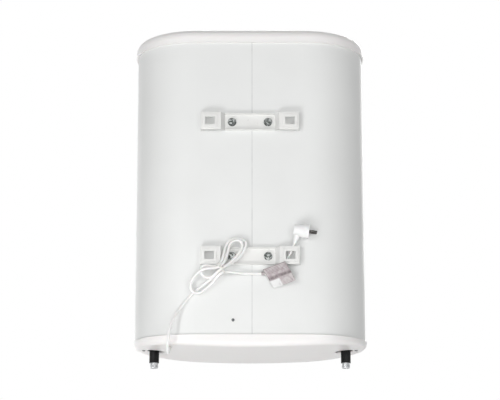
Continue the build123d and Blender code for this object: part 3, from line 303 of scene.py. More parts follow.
# ---- finishes ----
@dataclass(frozen=True)
class Finish:
    """What every finish has: a name, its colour and the colour that it drifts to."""

    name: str
    colour: Tint
    drift: Tint

    def lay(self, mix: Recipe) -> None:
        """Feed the shader; each kind of finish does it its own way.

        Args:
            mix: the material under construction.
        """
        raise NotImplementedError

    def coat(self, *nodes: str) -> Material:
        """Build the material and give it to carried-over pieces.

        Args:
            nodes: the pieces, if any.

        Returns:
            The material.
        """
        mix = Recipe(self.name)
        self.lay(mix)
        for node in nodes:
            data = bpy.data.objects[node].data
            data.materials.clear()
            data.materials.append(mix.material)
            log.info("%s wears %s", node, self.name)
        return mix.material


@dataclass(frozen=True)
class BakedEnamel(Finish):
    """Sprayed and baked enamel on sheet steel, with fine orange peel and a painted shadow along the
    lap.
    """

    gloss: float = 0.5
    peel: float = 0.00004
    rounding: float = 0.0003
    lap: float = -0.0045
    # colour of the painted shadow along the lap's edge
    lap_shadow_tint: Tint = (208, 209, 209)
    lap_behind: float = -0.06

    def lay(self, mix: Recipe) -> None:
        """Colour the sheet, paint a shadow on the strip along its lap, and add slow and fine peel.

        Args:
            mix: the material under construction.
        """
        sheet = mix.blend(mix.clouds(5.0, 2.0), self.colour, self.drift)
        # painted shadow: a darker strip about 3 mm wide along the lap's edge, near the rear face
        # only
        painted_lap_shadow = mix.blend(mix.clouds(40.0), self.lap_shadow_tint, self.drift, 0.35, 0.8)
        across = mix.coordinate("X")
        rise = mix.spread(across, 0.0, 1.0, self.lap - 0.0022, self.lap - 0.0006)
        fall = mix.spread(across, 1.0, 0.0, self.lap + 0.0003, self.lap + 0.0009)
        rear = mix.spread(mix.coordinate("Y"), 0.0, 1.0, self.lap_behind, self.lap_behind + 0.01)
        mix.give(Base_Color=mix.mixed(mix.product(rise, fall, rear), sheet, painted_lap_shadow),
                 Coat_Weight=0.08, Coat_Roughness=0.3, IOR=1.45)
        mix.dull(9.0, 2.0, self.gloss - 0.03, self.gloss + 0.04)
        slow = mix.relief(mix.clouds(55.0, 1.0), self.peel * 4, self.rounding)
        mix.relief(mix.clouds(620.0, 2.0), self.peel, under=slow)


@dataclass(frozen=True)
class MouldedPlastic(Finish):
    """Injection-moulded plastic with a fine spark-eroded grain."""

    gloss: float = 0.42
    grain: float = 0.00004
    cells: float = 1500.0
    rounding: float = 0.0006

    def lay(self, mix: Recipe) -> None:
        """Colour the plastic and add its grain.

        Args:
            mix: the material under construction.
        """
        mix.give(Base_Color=mix.blend(mix.clouds(7.0), self.colour, self.drift),
                 IOR=1.5, Subsurface_Weight=0.03, Subsurface_Scale=0.002)
        mix.dull(30.0, 4.0, self.gloss - 0.05, self.gloss + 0.07)
        mix.relief(mix.cells(self.cells), self.grain, self.rounding)


@dataclass(frozen=True)
class Metal(Finish):
    """Bare or plated metal with blotches, scratches and a directional polish."""

    gloss: float = 0.3
    blotch: float = 260.0
    stretch: Point = (1, 1, 1)
    scratch: float = 0.00003
    from_level: float = 0.35
    to_level: float = 0.65
    rounding: float = 0.0004

    def lay(self, mix: Recipe) -> None:
        """Blotch the metal and scratch it along its polish.

        Args:
            mix: the material under construction.
        """
        patch = mix.clouds(self.blotch, 5.0, warp=0.4)
        mix.give(Metallic=1.0, Base_Color=mix.blend(patch, self.colour, self.drift,
                                                    self.from_level, self.to_level))
        mix.dull(self.blotch * 2, 4.0, self.gloss - 0.1, self.gloss + 0.14)
        mix.relief(mix.clouds(900.0, 4.0, self.stretch), self.scratch, self.rounding)


@dataclass(frozen=True)
class BracketCoat(Finish):
    """Powder coat on pressed steel, rubbed through to bare or dull metal in small spots."""

    bare: Tint
    tarnish: Tint

    def lay(self, mix: Recipe) -> None:
        """Colour the coat, rub it through in spots and dimple it.

        Args:
            mix: the material under construction.
        """
        coat = mix.blend(mix.clouds(18.0), self.colour, self.drift)
        rubbed = mix.blend(mix.clouds(400.0), self.bare, self.tarnish)
        spots = mix.spread(mix.clouds(150.0, 6.0, warp=0.6), 0.0, 0.8, 0.69, 0.74)
        mix.give(Base_Color=mix.mixed(spots, coat, rubbed), Coat_Weight=0.15, Coat_Roughness=0.2)
        mix.dull(60.0, 4.0, 0.36, 0.52)
        mix.relief(mix.clouds(520.0, 2.0), 0.00007, 0.0012)


@dataclass(frozen=True)
class Rubber(Finish):
    """Dull elastomer with a faint bloom."""

    shine: float = 0.3

    def lay(self, mix: Recipe) -> None:
        """Colour the rubber and its bloom.

        Args:
            mix: the material under construction.
        """
        mix.give(Base_Color=mix.blend(mix.clouds(90.0, 5.0), self.colour, self.drift, 0.4, 0.75),
                 Specular_IOR_Level=self.shine)
        mix.dull(200.0, 3.0, 0.45, 0.62)
        mix.relief(mix.clouds(1300.0, 2.0), 0.00004, 0.0005)


@dataclass(frozen=True)
class Foam(Finish):
    """Poured rigid foam with open cells on its skin."""

    def lay(self, mix: Recipe) -> None:
        """Darken the cells' middles and lay them on a lumpy skin.

        Args:
            mix: the material under construction.
        """
        mix.give(Base_Color=mix.blend(mix.cells(420.0), self.drift, self.colour, 0.1, 0.6),
                 Roughness=0.95)
        skin = mix.relief(mix.clouds(40.0), 0.002)
        mix.relief(mix.cells(380.0), 0.0006, under=skin)


@dataclass(frozen=True)
class CordSheath(Finish):
    """Extruded flexible sheath with faint die lines and handling marks."""

    def lay(self, mix: Recipe) -> None:
        """Colour the sheath and its marks.

        Args:
            mix: the material under construction.
        """
        mix.give(Base_Color=mix.blend(mix.clouds(60.0, 4.0), self.colour, self.drift, 0.35, 0.85),
                 Subsurface_Weight=0.06, Subsurface_Scale=0.0015)
        mix.dull(120.0, 3.0, 0.34, 0.48)
        mix.relief(mix.clouds(700.0, 2.0), 0.00006)


@dataclass(frozen=True)
class TagFoil(Finish):
    """Metallised film: rosy grey, with fine embossed lines, a painted shade along its crease and a
    painted highlight near one corner.
    """

    # colour of the fine lines, and of the painted shade along the crease
    lines_and_crease_shade: Tint
    # colour of the painted highlight, a white patch on the film's lower corner
    panel: Tint
    highlight_across: float = 0.42
    highlight_down: float = 0.64

    def lay(self, mix: Recipe) -> None:
        """Colour the film along and down the tag, from its own layout.

        Args:
            mix: the material under construction.
        """
        split = mix.add("SeparateXYZ", Vector=mix.add("UVMap").outputs["UV"])
        along, down = split.outputs["X"], split.outputs["Y"]
        film = mix.blend(mix.clouds(70.0, 4.0, warp=1.2), self.colour, self.drift, 0.36, 0.64)
        dark = mix.blend(mix.clouds(160.0), self.lines_and_crease_shade, self.drift, 0.4, 0.8)
        # painted highlight: white patch where the film catches the light
        white = mix.blend(mix.clouds(90.0), self.panel, self.colour, 0.55, 0.9)
        lined = mix.product(mix.lines(down, 16.0), mix.product(
            mix.spread(down, 1.0, 0.0, 0.30, 0.36), mix.spread(along, 0.0, 1.0, 0.06, 0.1)))
        # painted shade: a darker band along the crease
        fold = mix.product(mix.spread(down, 0.0, 1.0, 0.40, 0.50),
                           mix.spread(down, 1.0, 0.0, 0.56, 0.62))
        film = mix.mixed(fold, mix.mixed(lined, film, dark), dark)
        # painted highlight: mask of the film's lower corner, where the film is also made
        # non-metallic
        panel = mix.product(
            mix.spread(along, 1.0, 0.0, self.highlight_across - 0.03, self.highlight_across + 0.03),
            mix.spread(down, 0.0, 1.0, self.highlight_down - 0.02, self.highlight_down + 0.02))
        mix.give(Base_Color=mix.mixed(panel, film, white),
                 Metallic=mix.spread(panel, 0.45, 0.0, 0.0, 1.0))
        mix.dull(160.0, 4.0, 0.4, 0.6)
        mix.relief(mix.clouds(260.0, 4.0, warp=0.8), 0.0003)


@dataclass(frozen=True)
class ClearPlastic(Finish):
    """Clear or tinted moulded plastic, for a lens or a lamp's cap."""

    gloss: float = 0.06
    clearness: float = 0.9

    def lay(self, mix: Recipe) -> None:
        """Tint the plastic and let light through.

        Args:
            mix: the material under construction.
        """
        mix.give(Base_Color=mix.blend(mix.clouds(50.0, 2.0), self.colour, self.drift),
                 Transmission_Weight=self.clearness, IOR=1.49)
        mix.dull(80.0, 4.0, self.gloss, self.gloss + 0.05)


# ---- mesh building ----
def show(name: str, data: bpy.types.ID) -> Object:
    """Put a new object with this data into the scene.

    Args:
        name: the object's name.
        data: its mesh, curve, lamp or camera.

    Returns:
        The object.
    """
    obj = bpy.data.objects.new(name, data)
    bpy.context.scene.collection.objects.link(obj)
    return obj


def piece(name: str, mesh: Mesh, material: Material, body: Body = Body.HEATER,
          flat: bool = False) -> Object:
    """Turn a finished bmesh into an object that rides on a body.

    Args:
        name: the piece's name.
        mesh: geometry in the model's frame, freed here.
        material: its finish.
        body: what it rides on.
        flat: whether faces stay flat-shaded.

    Returns:
        The new object.
    """
    data = bpy.data.meshes.new(name)
    bmesh.ops.recalc_face_normals(mesh, faces=mesh.faces[:])
    mesh.to_mesh(data)
    mesh.free()
    data.polygons.foreach_set("use_smooth", [not flat] * len(data.polygons))
    data.materials.append(material)
    obj = show(name, data)
    if not flat:
        data.set_sharp_from_angle(angle=0.6)
    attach(obj, body.value)
    log.info("%s built", name)
    return obj


def facing(origin: Vector, axis: Vector) -> Matrix:
    """Frame at an origin with its Z along an axis."""
    turn = axis.normalized().to_track_quat("Z", "Y").to_matrix().to_4x4()
    return Matrix.Translation(origin) @ turn


def add_ring(mesh: Mesh, centre: Vector, first: Vector, second: Vector, sides: int) -> Ring:
    """Add points round a centre.

    Args:
        mesh: what to add them to.
        centre: the ring's middle.
        first, second: its half axes; the points run from the first towards the second.
        sides: how many points it has.

    Returns:
        The points in order.
    """
    angles = [tau * i / sides for i in range(sides)]
    return [mesh.verts.new(centre + first * cos(a) + second * sin(a)) for a in angles]


def bridge(mesh: Mesh, rings: list[Ring]) -> None:
    """Join each ring to the next; a ring of one point is a tip.

    Args:
        mesh: what to add the faces to.
        rings: the rings in order.
    """
    for first, second in zip(rings, rings[1:]):
        for i in range(max(len(first), len(second))):
            corners = [ring[k % len(ring)]
                       for ring, k in ((first, i), (first, i + 1), (second, i + 1), (second, i))]
            mesh.faces.new(dict.fromkeys(corners))


def lathe(profile: list[tuple[float, float]], seat: Matrix, sides: int, mesh: Mesh) -> None:
    """Turn a profile round a frame's Z.

    Args:
        profile: radius and height of each ring, in metres; a radius of 0 closes the form.
        seat: the frame that the axis lies in.
        sides: points on each ring.
        mesh: what to add the form to.
    """
    turn = seat.to_3x3()
    first, second = turn @ ACROSS, turn @ BACK
    rings = []
    for radius, height in profile:
        middle = seat @ (UP * height)
        if radius:
            rings.append(add_ring(mesh, middle, first * radius, second * radius, sides))
        else:
            rings.append([mesh.verts.new(middle)])
    bridge(mesh, rings)


def sweep(points: list[Vector], radius: float, sides: int, mesh: Mesh,
          flatten: float = 1.0) -> None:
    """Lay a rod or strip with rounded edges along a line, closed at both ends.

    Args:
        points: the line.
        radius: half the strip's width.
        sides: points on each ring.
        mesh: what to add the form to.
        flatten: thickness as a share of the width; the flat face looks to the back.
    """
    rings = []
    last = len(points) - 1
    for k, point in enumerate(points):
        run = (points[min(k + 1, last)] - points[max(k - 1, 0)]).normalized()
        side = run.cross(BACK).normalized()
        up = side.cross(run).normalized()
        rings.append(add_ring(mesh, point, side * radius, up * radius * flatten, sides))
    start, end = mesh.verts.new(points[0]), mesh.verts.new(points[-1])
    bridge(mesh, [[start], *rings, [end]])


def slab(outline: list[Vector], push: Vector, mesh: Mesh) -> None:
    """Add a thin plate of a flat outline, for a printed stroke.

    Args:
        outline: its corners in order.
        push: the way and distance that it rises.
        mesh: what to add it to.
    """
    low = [mesh.verts.new(p) for p in outline]
    high = [mesh.verts.new(p + push) for p in outline]
    mesh.faces.new(low[::-1])
    mesh.faces.new(high)
    bridge(mesh, [low, high])


class SubAssembly:
    """Pieces that are built and dressed together."""

    def build(self) -> None:
        """Build the detailed pieces; some groups have only carried-over ones."""

    def dress(self) -> None:
        """Give the carried-over pieces their finishes; some groups have none."""


# ---- casing and wall brackets ----
@dataclass
class Casing(SubAssembly):
    """Sheet jacket between two moulded caps, and the screws that hold them."""

    head_radius: float = 0.0038
    head_dome: float = 0.0009
    head_depth: float = 0.0020
    recess_depth: float = 0.0011
    recess_width: float = 0.0010
    recess_reach: float = 0.62
    shank_radius: float = 0.0020
    plain: float = 0.0035
    tip: float = 0.0012
    thread_depth: float = 0.0005
    thread_pitch: float = 0.0014
    plan_corner: float = 0.156
    bead: float = 0.0013
    bead_rise: float = 0.0016
    screw_above_seam: float = 0.0305
    bead_sides: int = 10

    def dress(self) -> None:
        """Dress the jacket and the caps, and lay a bead round each cap's mouth."""
        BakedEnamel("jacket_enamel", (238, 239, 238), (233, 234, 233)).coat("outer_jacket")
        cap = MouldedPlastic("cap_moulding", (250, 248, 247), (247, 245, 244), 0.36,
                             rounding=0.0022).coat("top_cap", "bottom_cap")
        self.build_bead("top_cap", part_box("top_cap")[0].z + self.bead_rise, cap)
        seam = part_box("jacket_screw")[0].z - self.screw_above_seam
        self.build_bead("bottom_cap", seam - self.bead_rise, cap)

    def build_bead(self, node: str, height: float, finish: Material) -> None:
        """Lay the rounded bead of a cap's mouth, along its widest plan.

        Args:
            node: the cap.
            height: where the bead lies.
            finish: the cap's own.
        """
        low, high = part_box(node)
        corner, steps = self.plan_corner, 24
        mesh, rings = bmesh.new(), []
        for quarter in range(4):
            middle = Vector((high.x - corner if quarter in (0, 3) else low.x + corner,
                             high.y - corner if quarter in (0, 1) else low.y + corner, height))
            for step in range(steps + 1):
                angle = tau / 4 * (quarter + step / steps)
                out = ACROSS * cos(angle) + BACK * sin(angle)
                rings.append(add_ring(mesh, middle + out * (corner - self.bead / 2),
                                      out * self.bead, UP * self.bead, self.bead_sides))
        bridge(mesh, [*rings, rings[0]])
        piece(f"{node}_bead", mesh, finish)

    def add_screw(self, top: Vector, axis: Vector, length: float, mesh: Mesh) -> None:
        """Add a screw with a pan head and a cross recess.

        Args:
            top: middle of the head's top.
            axis: the way the head faces.
            length: the whole screw's.
            mesh: what to add it to.
        """
        seat, sides = facing(top, axis), 64
        circles = [[mesh.verts.new(seat @ Vector((0, 0, -self.recess_depth)))]]
        for share in (0.12, 0.24, 0.36, 0.48, 0.58, 0.68, 0.78, 0.88, 0.96, 1.0):
            circle = []
            for i in range(sides):
                x = share * self.head_radius * cos(tau * i / sides)
                y = share * self.head_radius * sin(tau * i / sides)
                in_arm = min(abs(x), abs(y)) < self.recess_width / 2 and share < self.recess_reach
                sunk = self.head_dome * share ** 3 + (self.recess_depth if in_arm else 0.0)
                circle.append(mesh.verts.new(seat @ Vector((x, y, -sunk))))
            circles.append(circle)
        bridge(mesh, circles)
        profile = [(self.head_radius, -self.head_dome), (self.head_radius, -self.head_depth),
                   (self.shank_radius, -self.head_depth)]
        for k in range(int((length - self.plain) / self.thread_pitch)):
            crest = -self.head_depth - 0.0002 - k * self.thread_pitch
            profile += [(self.shank_radius, crest),
                        (self.shank_radius - self.thread_depth, crest - self.thread_pitch / 2)]
        profile += [(self.shank_radius * 0.8, self.tip - length), (0.0, -length)]
        lathe(profile, seat, sides, mesh)
        bmesh.ops.remove_doubles(mesh, verts=mesh.verts[:], dist=1e-6)

    def build(self) -> None:
        """Build the screws that hold the caps and the jacket's lap."""
        zinc = Metal("screw_zinc", (150, 152, 154), (84, 85, 88)).coat()
        mesh = bmesh.new()
        low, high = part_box("cap_screws")
        for x in (low.x + self.head_radius, high.x - self.head_radius):
            self.add_screw(Vector((x, (low.y + high.y) / 2, low.z)), -UP, high.z - low.z, mesh)
        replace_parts(piece("cross_head_cap_screws", mesh, zinc), "cap_screws")
        mesh = bmesh.new()
        low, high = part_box("jacket_screw")
        self.add_screw(Vector(((low.x + high.x) / 2, high.y, (low.z + high.z) / 2)), BACK,
                       high.y - low.y, mesh)
        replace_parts(piece("cross_head_jacket_screw", mesh, zinc), "jacket_screw")


@dataclass
class WallBrackets(SubAssembly):
    """Pressed brackets, their bolts and the rails behind the jacket."""

    def dress(self) -> None:
        """Give brackets, bolts, washers and rails their finishes."""
        BracketCoat("bracket_coat", (238, 238, 236), (232, 232, 230), (178, 176, 171),
                    (160, 158, 153)).coat("upper_bracket", "lower_bracket")
        Metal("blackened_bolt", (78, 83, 80), (196, 199, 198), 0.38, 170.0, from_level=0.46,
              to_level=0.62, rounding=0.0008).coat("bracket_bolts", "bracket_washers")
        Metal("rail_steel", (150, 152, 155), (110, 112, 116), 0.4, 60.0).coat(
            "upper_tank_rail", "lower_tank_rail", "rail_weld_nuts")


# ---- water pipes ----
@dataclass
class WaterPipes(SubAssembly):
    """Two zinc-plated pipes with cut G 1/2 threads, in black sleeves, with black rubber collars
    that stand in for the shade in the wells round them.
    """

    radius: float = 0.01065
    crest: float = 0.010475
    bore: float = 0.0075
    bore_bevel: float = 0.0006
    thread_depth: float = 0.00116
    pitch: float = 0.001814
    threaded: float = 0.013
    run_in: float = 0.0016
    run_out: float = 0.0012
    knee: float = 0.071
    elbow: float = 0.094
    bend: float = 0.012
    sleeve: float = 0.01215
    well: float = 0.0216
    well_inward: float = 0.004
    collar_foot: float = -0.5410
    collar_top: float = -0.5360
    collar_edge: float = 0.001
    collar_sides: int = 64
    ridge_slope: float = 1.25
    shank_sides: int = 40

    def build_shade_collar(self, name: str, axis: Vector, finish: Material) -> None:
        """Fill a well round its sleeve with a black rubber collar, a dark piece put where the well
        only holds shade.

        Args:
            name: the piece's name.
            axis: a point on the pipe's axis.
            finish: its rubber.
        """
        inward = self.well_inward if axis.x > 0 else -self.well_inward
        rim = self.collar_foot + self.collar_edge
        mesh = bmesh.new()
        rings = []
        for x, radius, height in ((axis.x - inward, self.well, rim),
                                  (axis.x - inward, self.well - self.collar_edge, self.collar_foot),
                                  (axis.x, self.sleeve + self.collar_edge, self.collar_foot),
                                  (axis.x, self.sleeve, rim),
                                  (axis.x, self.sleeve, self.collar_top),
                                  (axis.x - inward, self.well, self.collar_top)):
            rings.append(add_ring(mesh, Vector((x, axis.y, height)), ACROSS * radius,
                                  BACK * radius, self.collar_sides))
        bridge(mesh, [*rings, rings[0]])
        piece(name, mesh, finish)

    def add_thread(self, x: float, y: float, end: float, mesh: Mesh) -> None:
        """Cut a thread with a bevelled lip and an open bore.

        Args:
            x, y: the pipe's axis.
            end: height of its free end.
            mesh: what to add it to.
        """
        sides, steps = 72, 78
        centre = Vector((x, y, end))
        rings = [add_ring(mesh, centre + UP * height, ACROSS * radius, BACK * radius, sides)
                 for radius, height in ((self.bore, self.threaded), (self.bore, self.bore_bevel),
                                        (self.bore + 0.0005, 0.0),
                                        (self.crest - self.thread_depth, 0.0))]
        for step in range(steps + 1):
            height = self.threaded * step / steps
            whole = (min(1.0, height / self.run_in)
                     * min(1.0, max(0.0, (self.threaded - height) / self.run_out)))
            ring = []
            for i in range(sides):
                turn = (height / self.pitch + i / sides) % 1.0
                ridge = min(1.0, self.ridge_slope * (1 - abs(2 * turn - 1))) * whole
                radius = self.crest - self.thread_depth * (1 - ridge)
                ring.append(mesh.verts.new((x + radius * cos(tau * i / sides),
                                            y + radius * sin(tau * i / sides),
                                            end + 0.0002 + height * 0.985)))
            rings.append(ring)
        bridge(mesh, rings)

    def build(self) -> None:
        """Build both pipes and the dark collars that stand in for the shade in their wells, and
        dress what stays of them.
        """
        zinc = Metal("pipe_zinc", (236, 237, 238), (196, 197, 199), 0.3, 120.0).coat(
            "cold_inlet_pipe", "hot_outlet_pipe", "inlet_diffuser", "outlet_standpipe")
        rubber = Rubber("pipe_sleeve", (10, 10, 11), (24, 24, 25), 0.2).coat(
            "cold_pipe_sleeve", "hot_pipe_sleeve")
        for water, name in (("cold", "cold_inlet_pipe"), ("hot", "hot_outlet_pipe")):
            sleeve_low, sleeve_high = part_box(f"{water}_pipe_sleeve")
            axis = (sleeve_low + sleeve_high) / 2
            low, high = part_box(name)
            # black collar: a dark piece standing in for the shade in the well round the sleeve
            self.build_shade_collar(f"{water}_pipe_shade_collar", axis, rubber)
            mesh = bmesh.new()
            self.add_thread(axis.x, axis.y, low.z, mesh)
            self.add_shank(axis, low, high, mesh)
            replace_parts(piece(f"{water}_threaded_pipe", mesh, zinc), name)

    def add_shank(self, axis: Vector, low: Vector, high: Vector, mesh: Mesh) -> None:
        """Add the bent part of a pipe, from the thread to inside its tank.

        Args:
            axis: middle of the pipe's sleeve.
            low, high: corners of the whole pipe's box.
            mesh: what to add it to.
        """
        inner = low.x + self.radius if axis.x > 0 else high.x - self.radius
        start = Vector((axis.x, axis.y, low.z + self.threaded))
        knee = Vector((axis.x, axis.y, low.z + self.knee))
        elbow = Vector((inner, axis.y, low.z + self.elbow))
        near_knee, near_elbow = knee.lerp(elbow, 0.45), elbow.lerp(knee, 0.45)
        below = knee - UP * self.bend
        points = [start, below, *self.turn(below, knee, near_knee),
                  *self.turn(near_elbow, elbow, elbow + UP * self.bend),
                  Vector((inner, axis.y, high.z))]
        sweep(points, self.radius, self.shank_sides, mesh)

    def turn(self, start: Vector, corner: Vector, end: Vector) -> list[Vector]:
        """Points of a smooth turn from start to end round a corner."""
        return [start.lerp(corner, t / 8).lerp(corner.lerp(end, t / 8), t / 8) for t in range(1, 9)]


# ---- mains cord ----
@dataclass
class FoilFlag:
    """Creased foil flag, wrapped once round the cord's tail."""

    corner: Point = (-0.031, -0.0095, -0.369)
    along: Point = (-0.053, 0.0158, 0.017)
    down: Point = (-0.026, -0.0057, -0.045)
    wrap_start: Point = (-0.0275, -0.015, -0.3778)
    wrap_end: Point = (-0.0355, -0.015, -0.37815)
    columns: int = 36
    rows: int = 30
    thickness: float = 0.0004
    crease: float = 0.0030
    crease_width: float = 0.20
    buckle: float = 0.0024
    crumple: float = 0.0011
    curl_out: float = 0.0042
    curl_in: float = 0.0030

    def lift(self, u: float, v: float) -> float:
        """Height of the foil over its flat plane.

        Args:
            u, v: place along and down the flag, each from 0 to 1.

        Returns:
            The height in metres.
        """
        fold = abs(v - 0.55 - 0.12 * (u - 0.5))
        crease = -self.crease * max(0.0, 1 - fold / self.crease_width)
        buckle = self.buckle * noise.noise(Vector((u * 2.6, v * 2.9, 0.7)))
        crumple = self.crumple * abs(noise.noise(Vector((u * 6.5, v * 7.0, 3.1))))
        curl = self.curl_out * max(0.0, u + v - 1.45) - self.curl_in * max(0.0, u - v - 0.5)
        return crease + buckle + crumple + curl

    def build(self) -> tuple[Object, Object]:
        """Build the flag and its wrap.

        Returns:
            Both pieces.
        """
        corner, along, down = Vector(self.corner), Vector(self.along), Vector(self.down)
        normal = along.cross(down).normalized()
        if normal.y < 0:
            normal.negate()
        mesh = bmesh.new()
        layout = mesh.loops.layers.uv.new("UVMap")
        grid = [[(i / self.columns, j / self.rows) for j in range(self.rows + 1)]
                for i in range(self.columns + 1)]
        verts = [[mesh.verts.new(corner + along * u + down * v + normal * self.lift(u, v))
                  for u, v in line] for line in grid]
        for i in range(self.columns):
            for j in range(self.rows):
                around = ((i, j), (i + 1, j), (i + 1, j + 1), (i, j + 1))
                face = mesh.faces.new([verts[a][b] for a, b in around])
                for loop, (a, b) in zip(face.loops, around):
                    loop[layout].uv = grid[a][b]
        foil = TagFoil("foil_tag", (182, 177, 177), (155, 145, 147), (108, 99, 101),
                       (232, 232, 232)).coat()
        tag = piece("cord_foil_tag", mesh, foil)
        tag.modifiers.new("film", "SOLIDIFY").thickness = self.thickness
        mesh = bmesh.new()
        start, end = Vector(self.wrap_start), Vector(self.wrap_end)
        lathe([(0.0037, 0.0), (0.0042, 0.0), (0.0043, 0.004), (0.0042, 0.008), (0.0037, 0.008)],
              facing(start, end - start), 36, mesh)
        wrap = piece("cord_tag_wrap", mesh, foil)
        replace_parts(tag, "cord_tag")
        return tag, wrap


@dataclass
class TwineTie:
    """Thin twine wound twice round the hank and knotted."""

    middle: Point = (0.069, 0.008, -0.370)
    run: Point = (-0.786, 0.0, 0.618)
    across: Point = (0.618, 0.0, 0.786)
    half_width: float = 0.0148
    half_depth: float = 0.0083
    twine: float = 0.0011
    winding_pitch: float = 0.0018

    def build(self) -> Object:
        """Build the windings, the knot and its two loose ends.

        Returns:
            The tie.
        """
        run, across = Vector(self.run).normalized(), Vector(self.across)
        centre = Vector(self.middle) + across * 0.0006
        mesh = bmesh.new()
        windings, steps = 2, 48
        points = []
        for k in range(steps + 1):
            angle = tau * windings * k / steps
            shift = (k / steps - 0.5) * self.winding_pitch * windings
            square = (abs(cos(angle)) ** 3 + abs(sin(angle)) ** 3) ** (-1 / 3)
            points.append(centre + run * shift + across * (self.half_width * square * cos(angle))
                          + BACK * (self.half_depth * square * sin(angle)))
        sweep(points, self.twine, 10, mesh, 0.75)
        knot = centre + BACK * (self.half_depth + 0.0012) + across * 0.001
        loop = [knot + run * (0.0026 * sin(angle)) + across * (0.0034 * sin(2 * angle))
                + BACK * (0.0009 * cos(3 * angle)) for angle in (tau * k / 32 for k in range(33))]
        sweep(loop, 0.0012, 10, mesh, 0.8)
        for lean, reach in ((1.0, 0.012), (-0.7, 0.009)):
            end = [knot + across * (reach * t * lean) + run * (0.004 * t * t)
                   - BACK * (0.0035 * t * t) for t in (0.0, 0.25, 0.5, 0.75, 1.0)]
            sweep(end, self.twine, 10, mesh, 0.7)
        twine = CordSheath("tie_twine", (246, 245, 242), (224, 221, 213)).coat()
        tie = piece("cord_tie_knot", mesh, twine)
        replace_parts(tie, "cord_tie")
        return tie


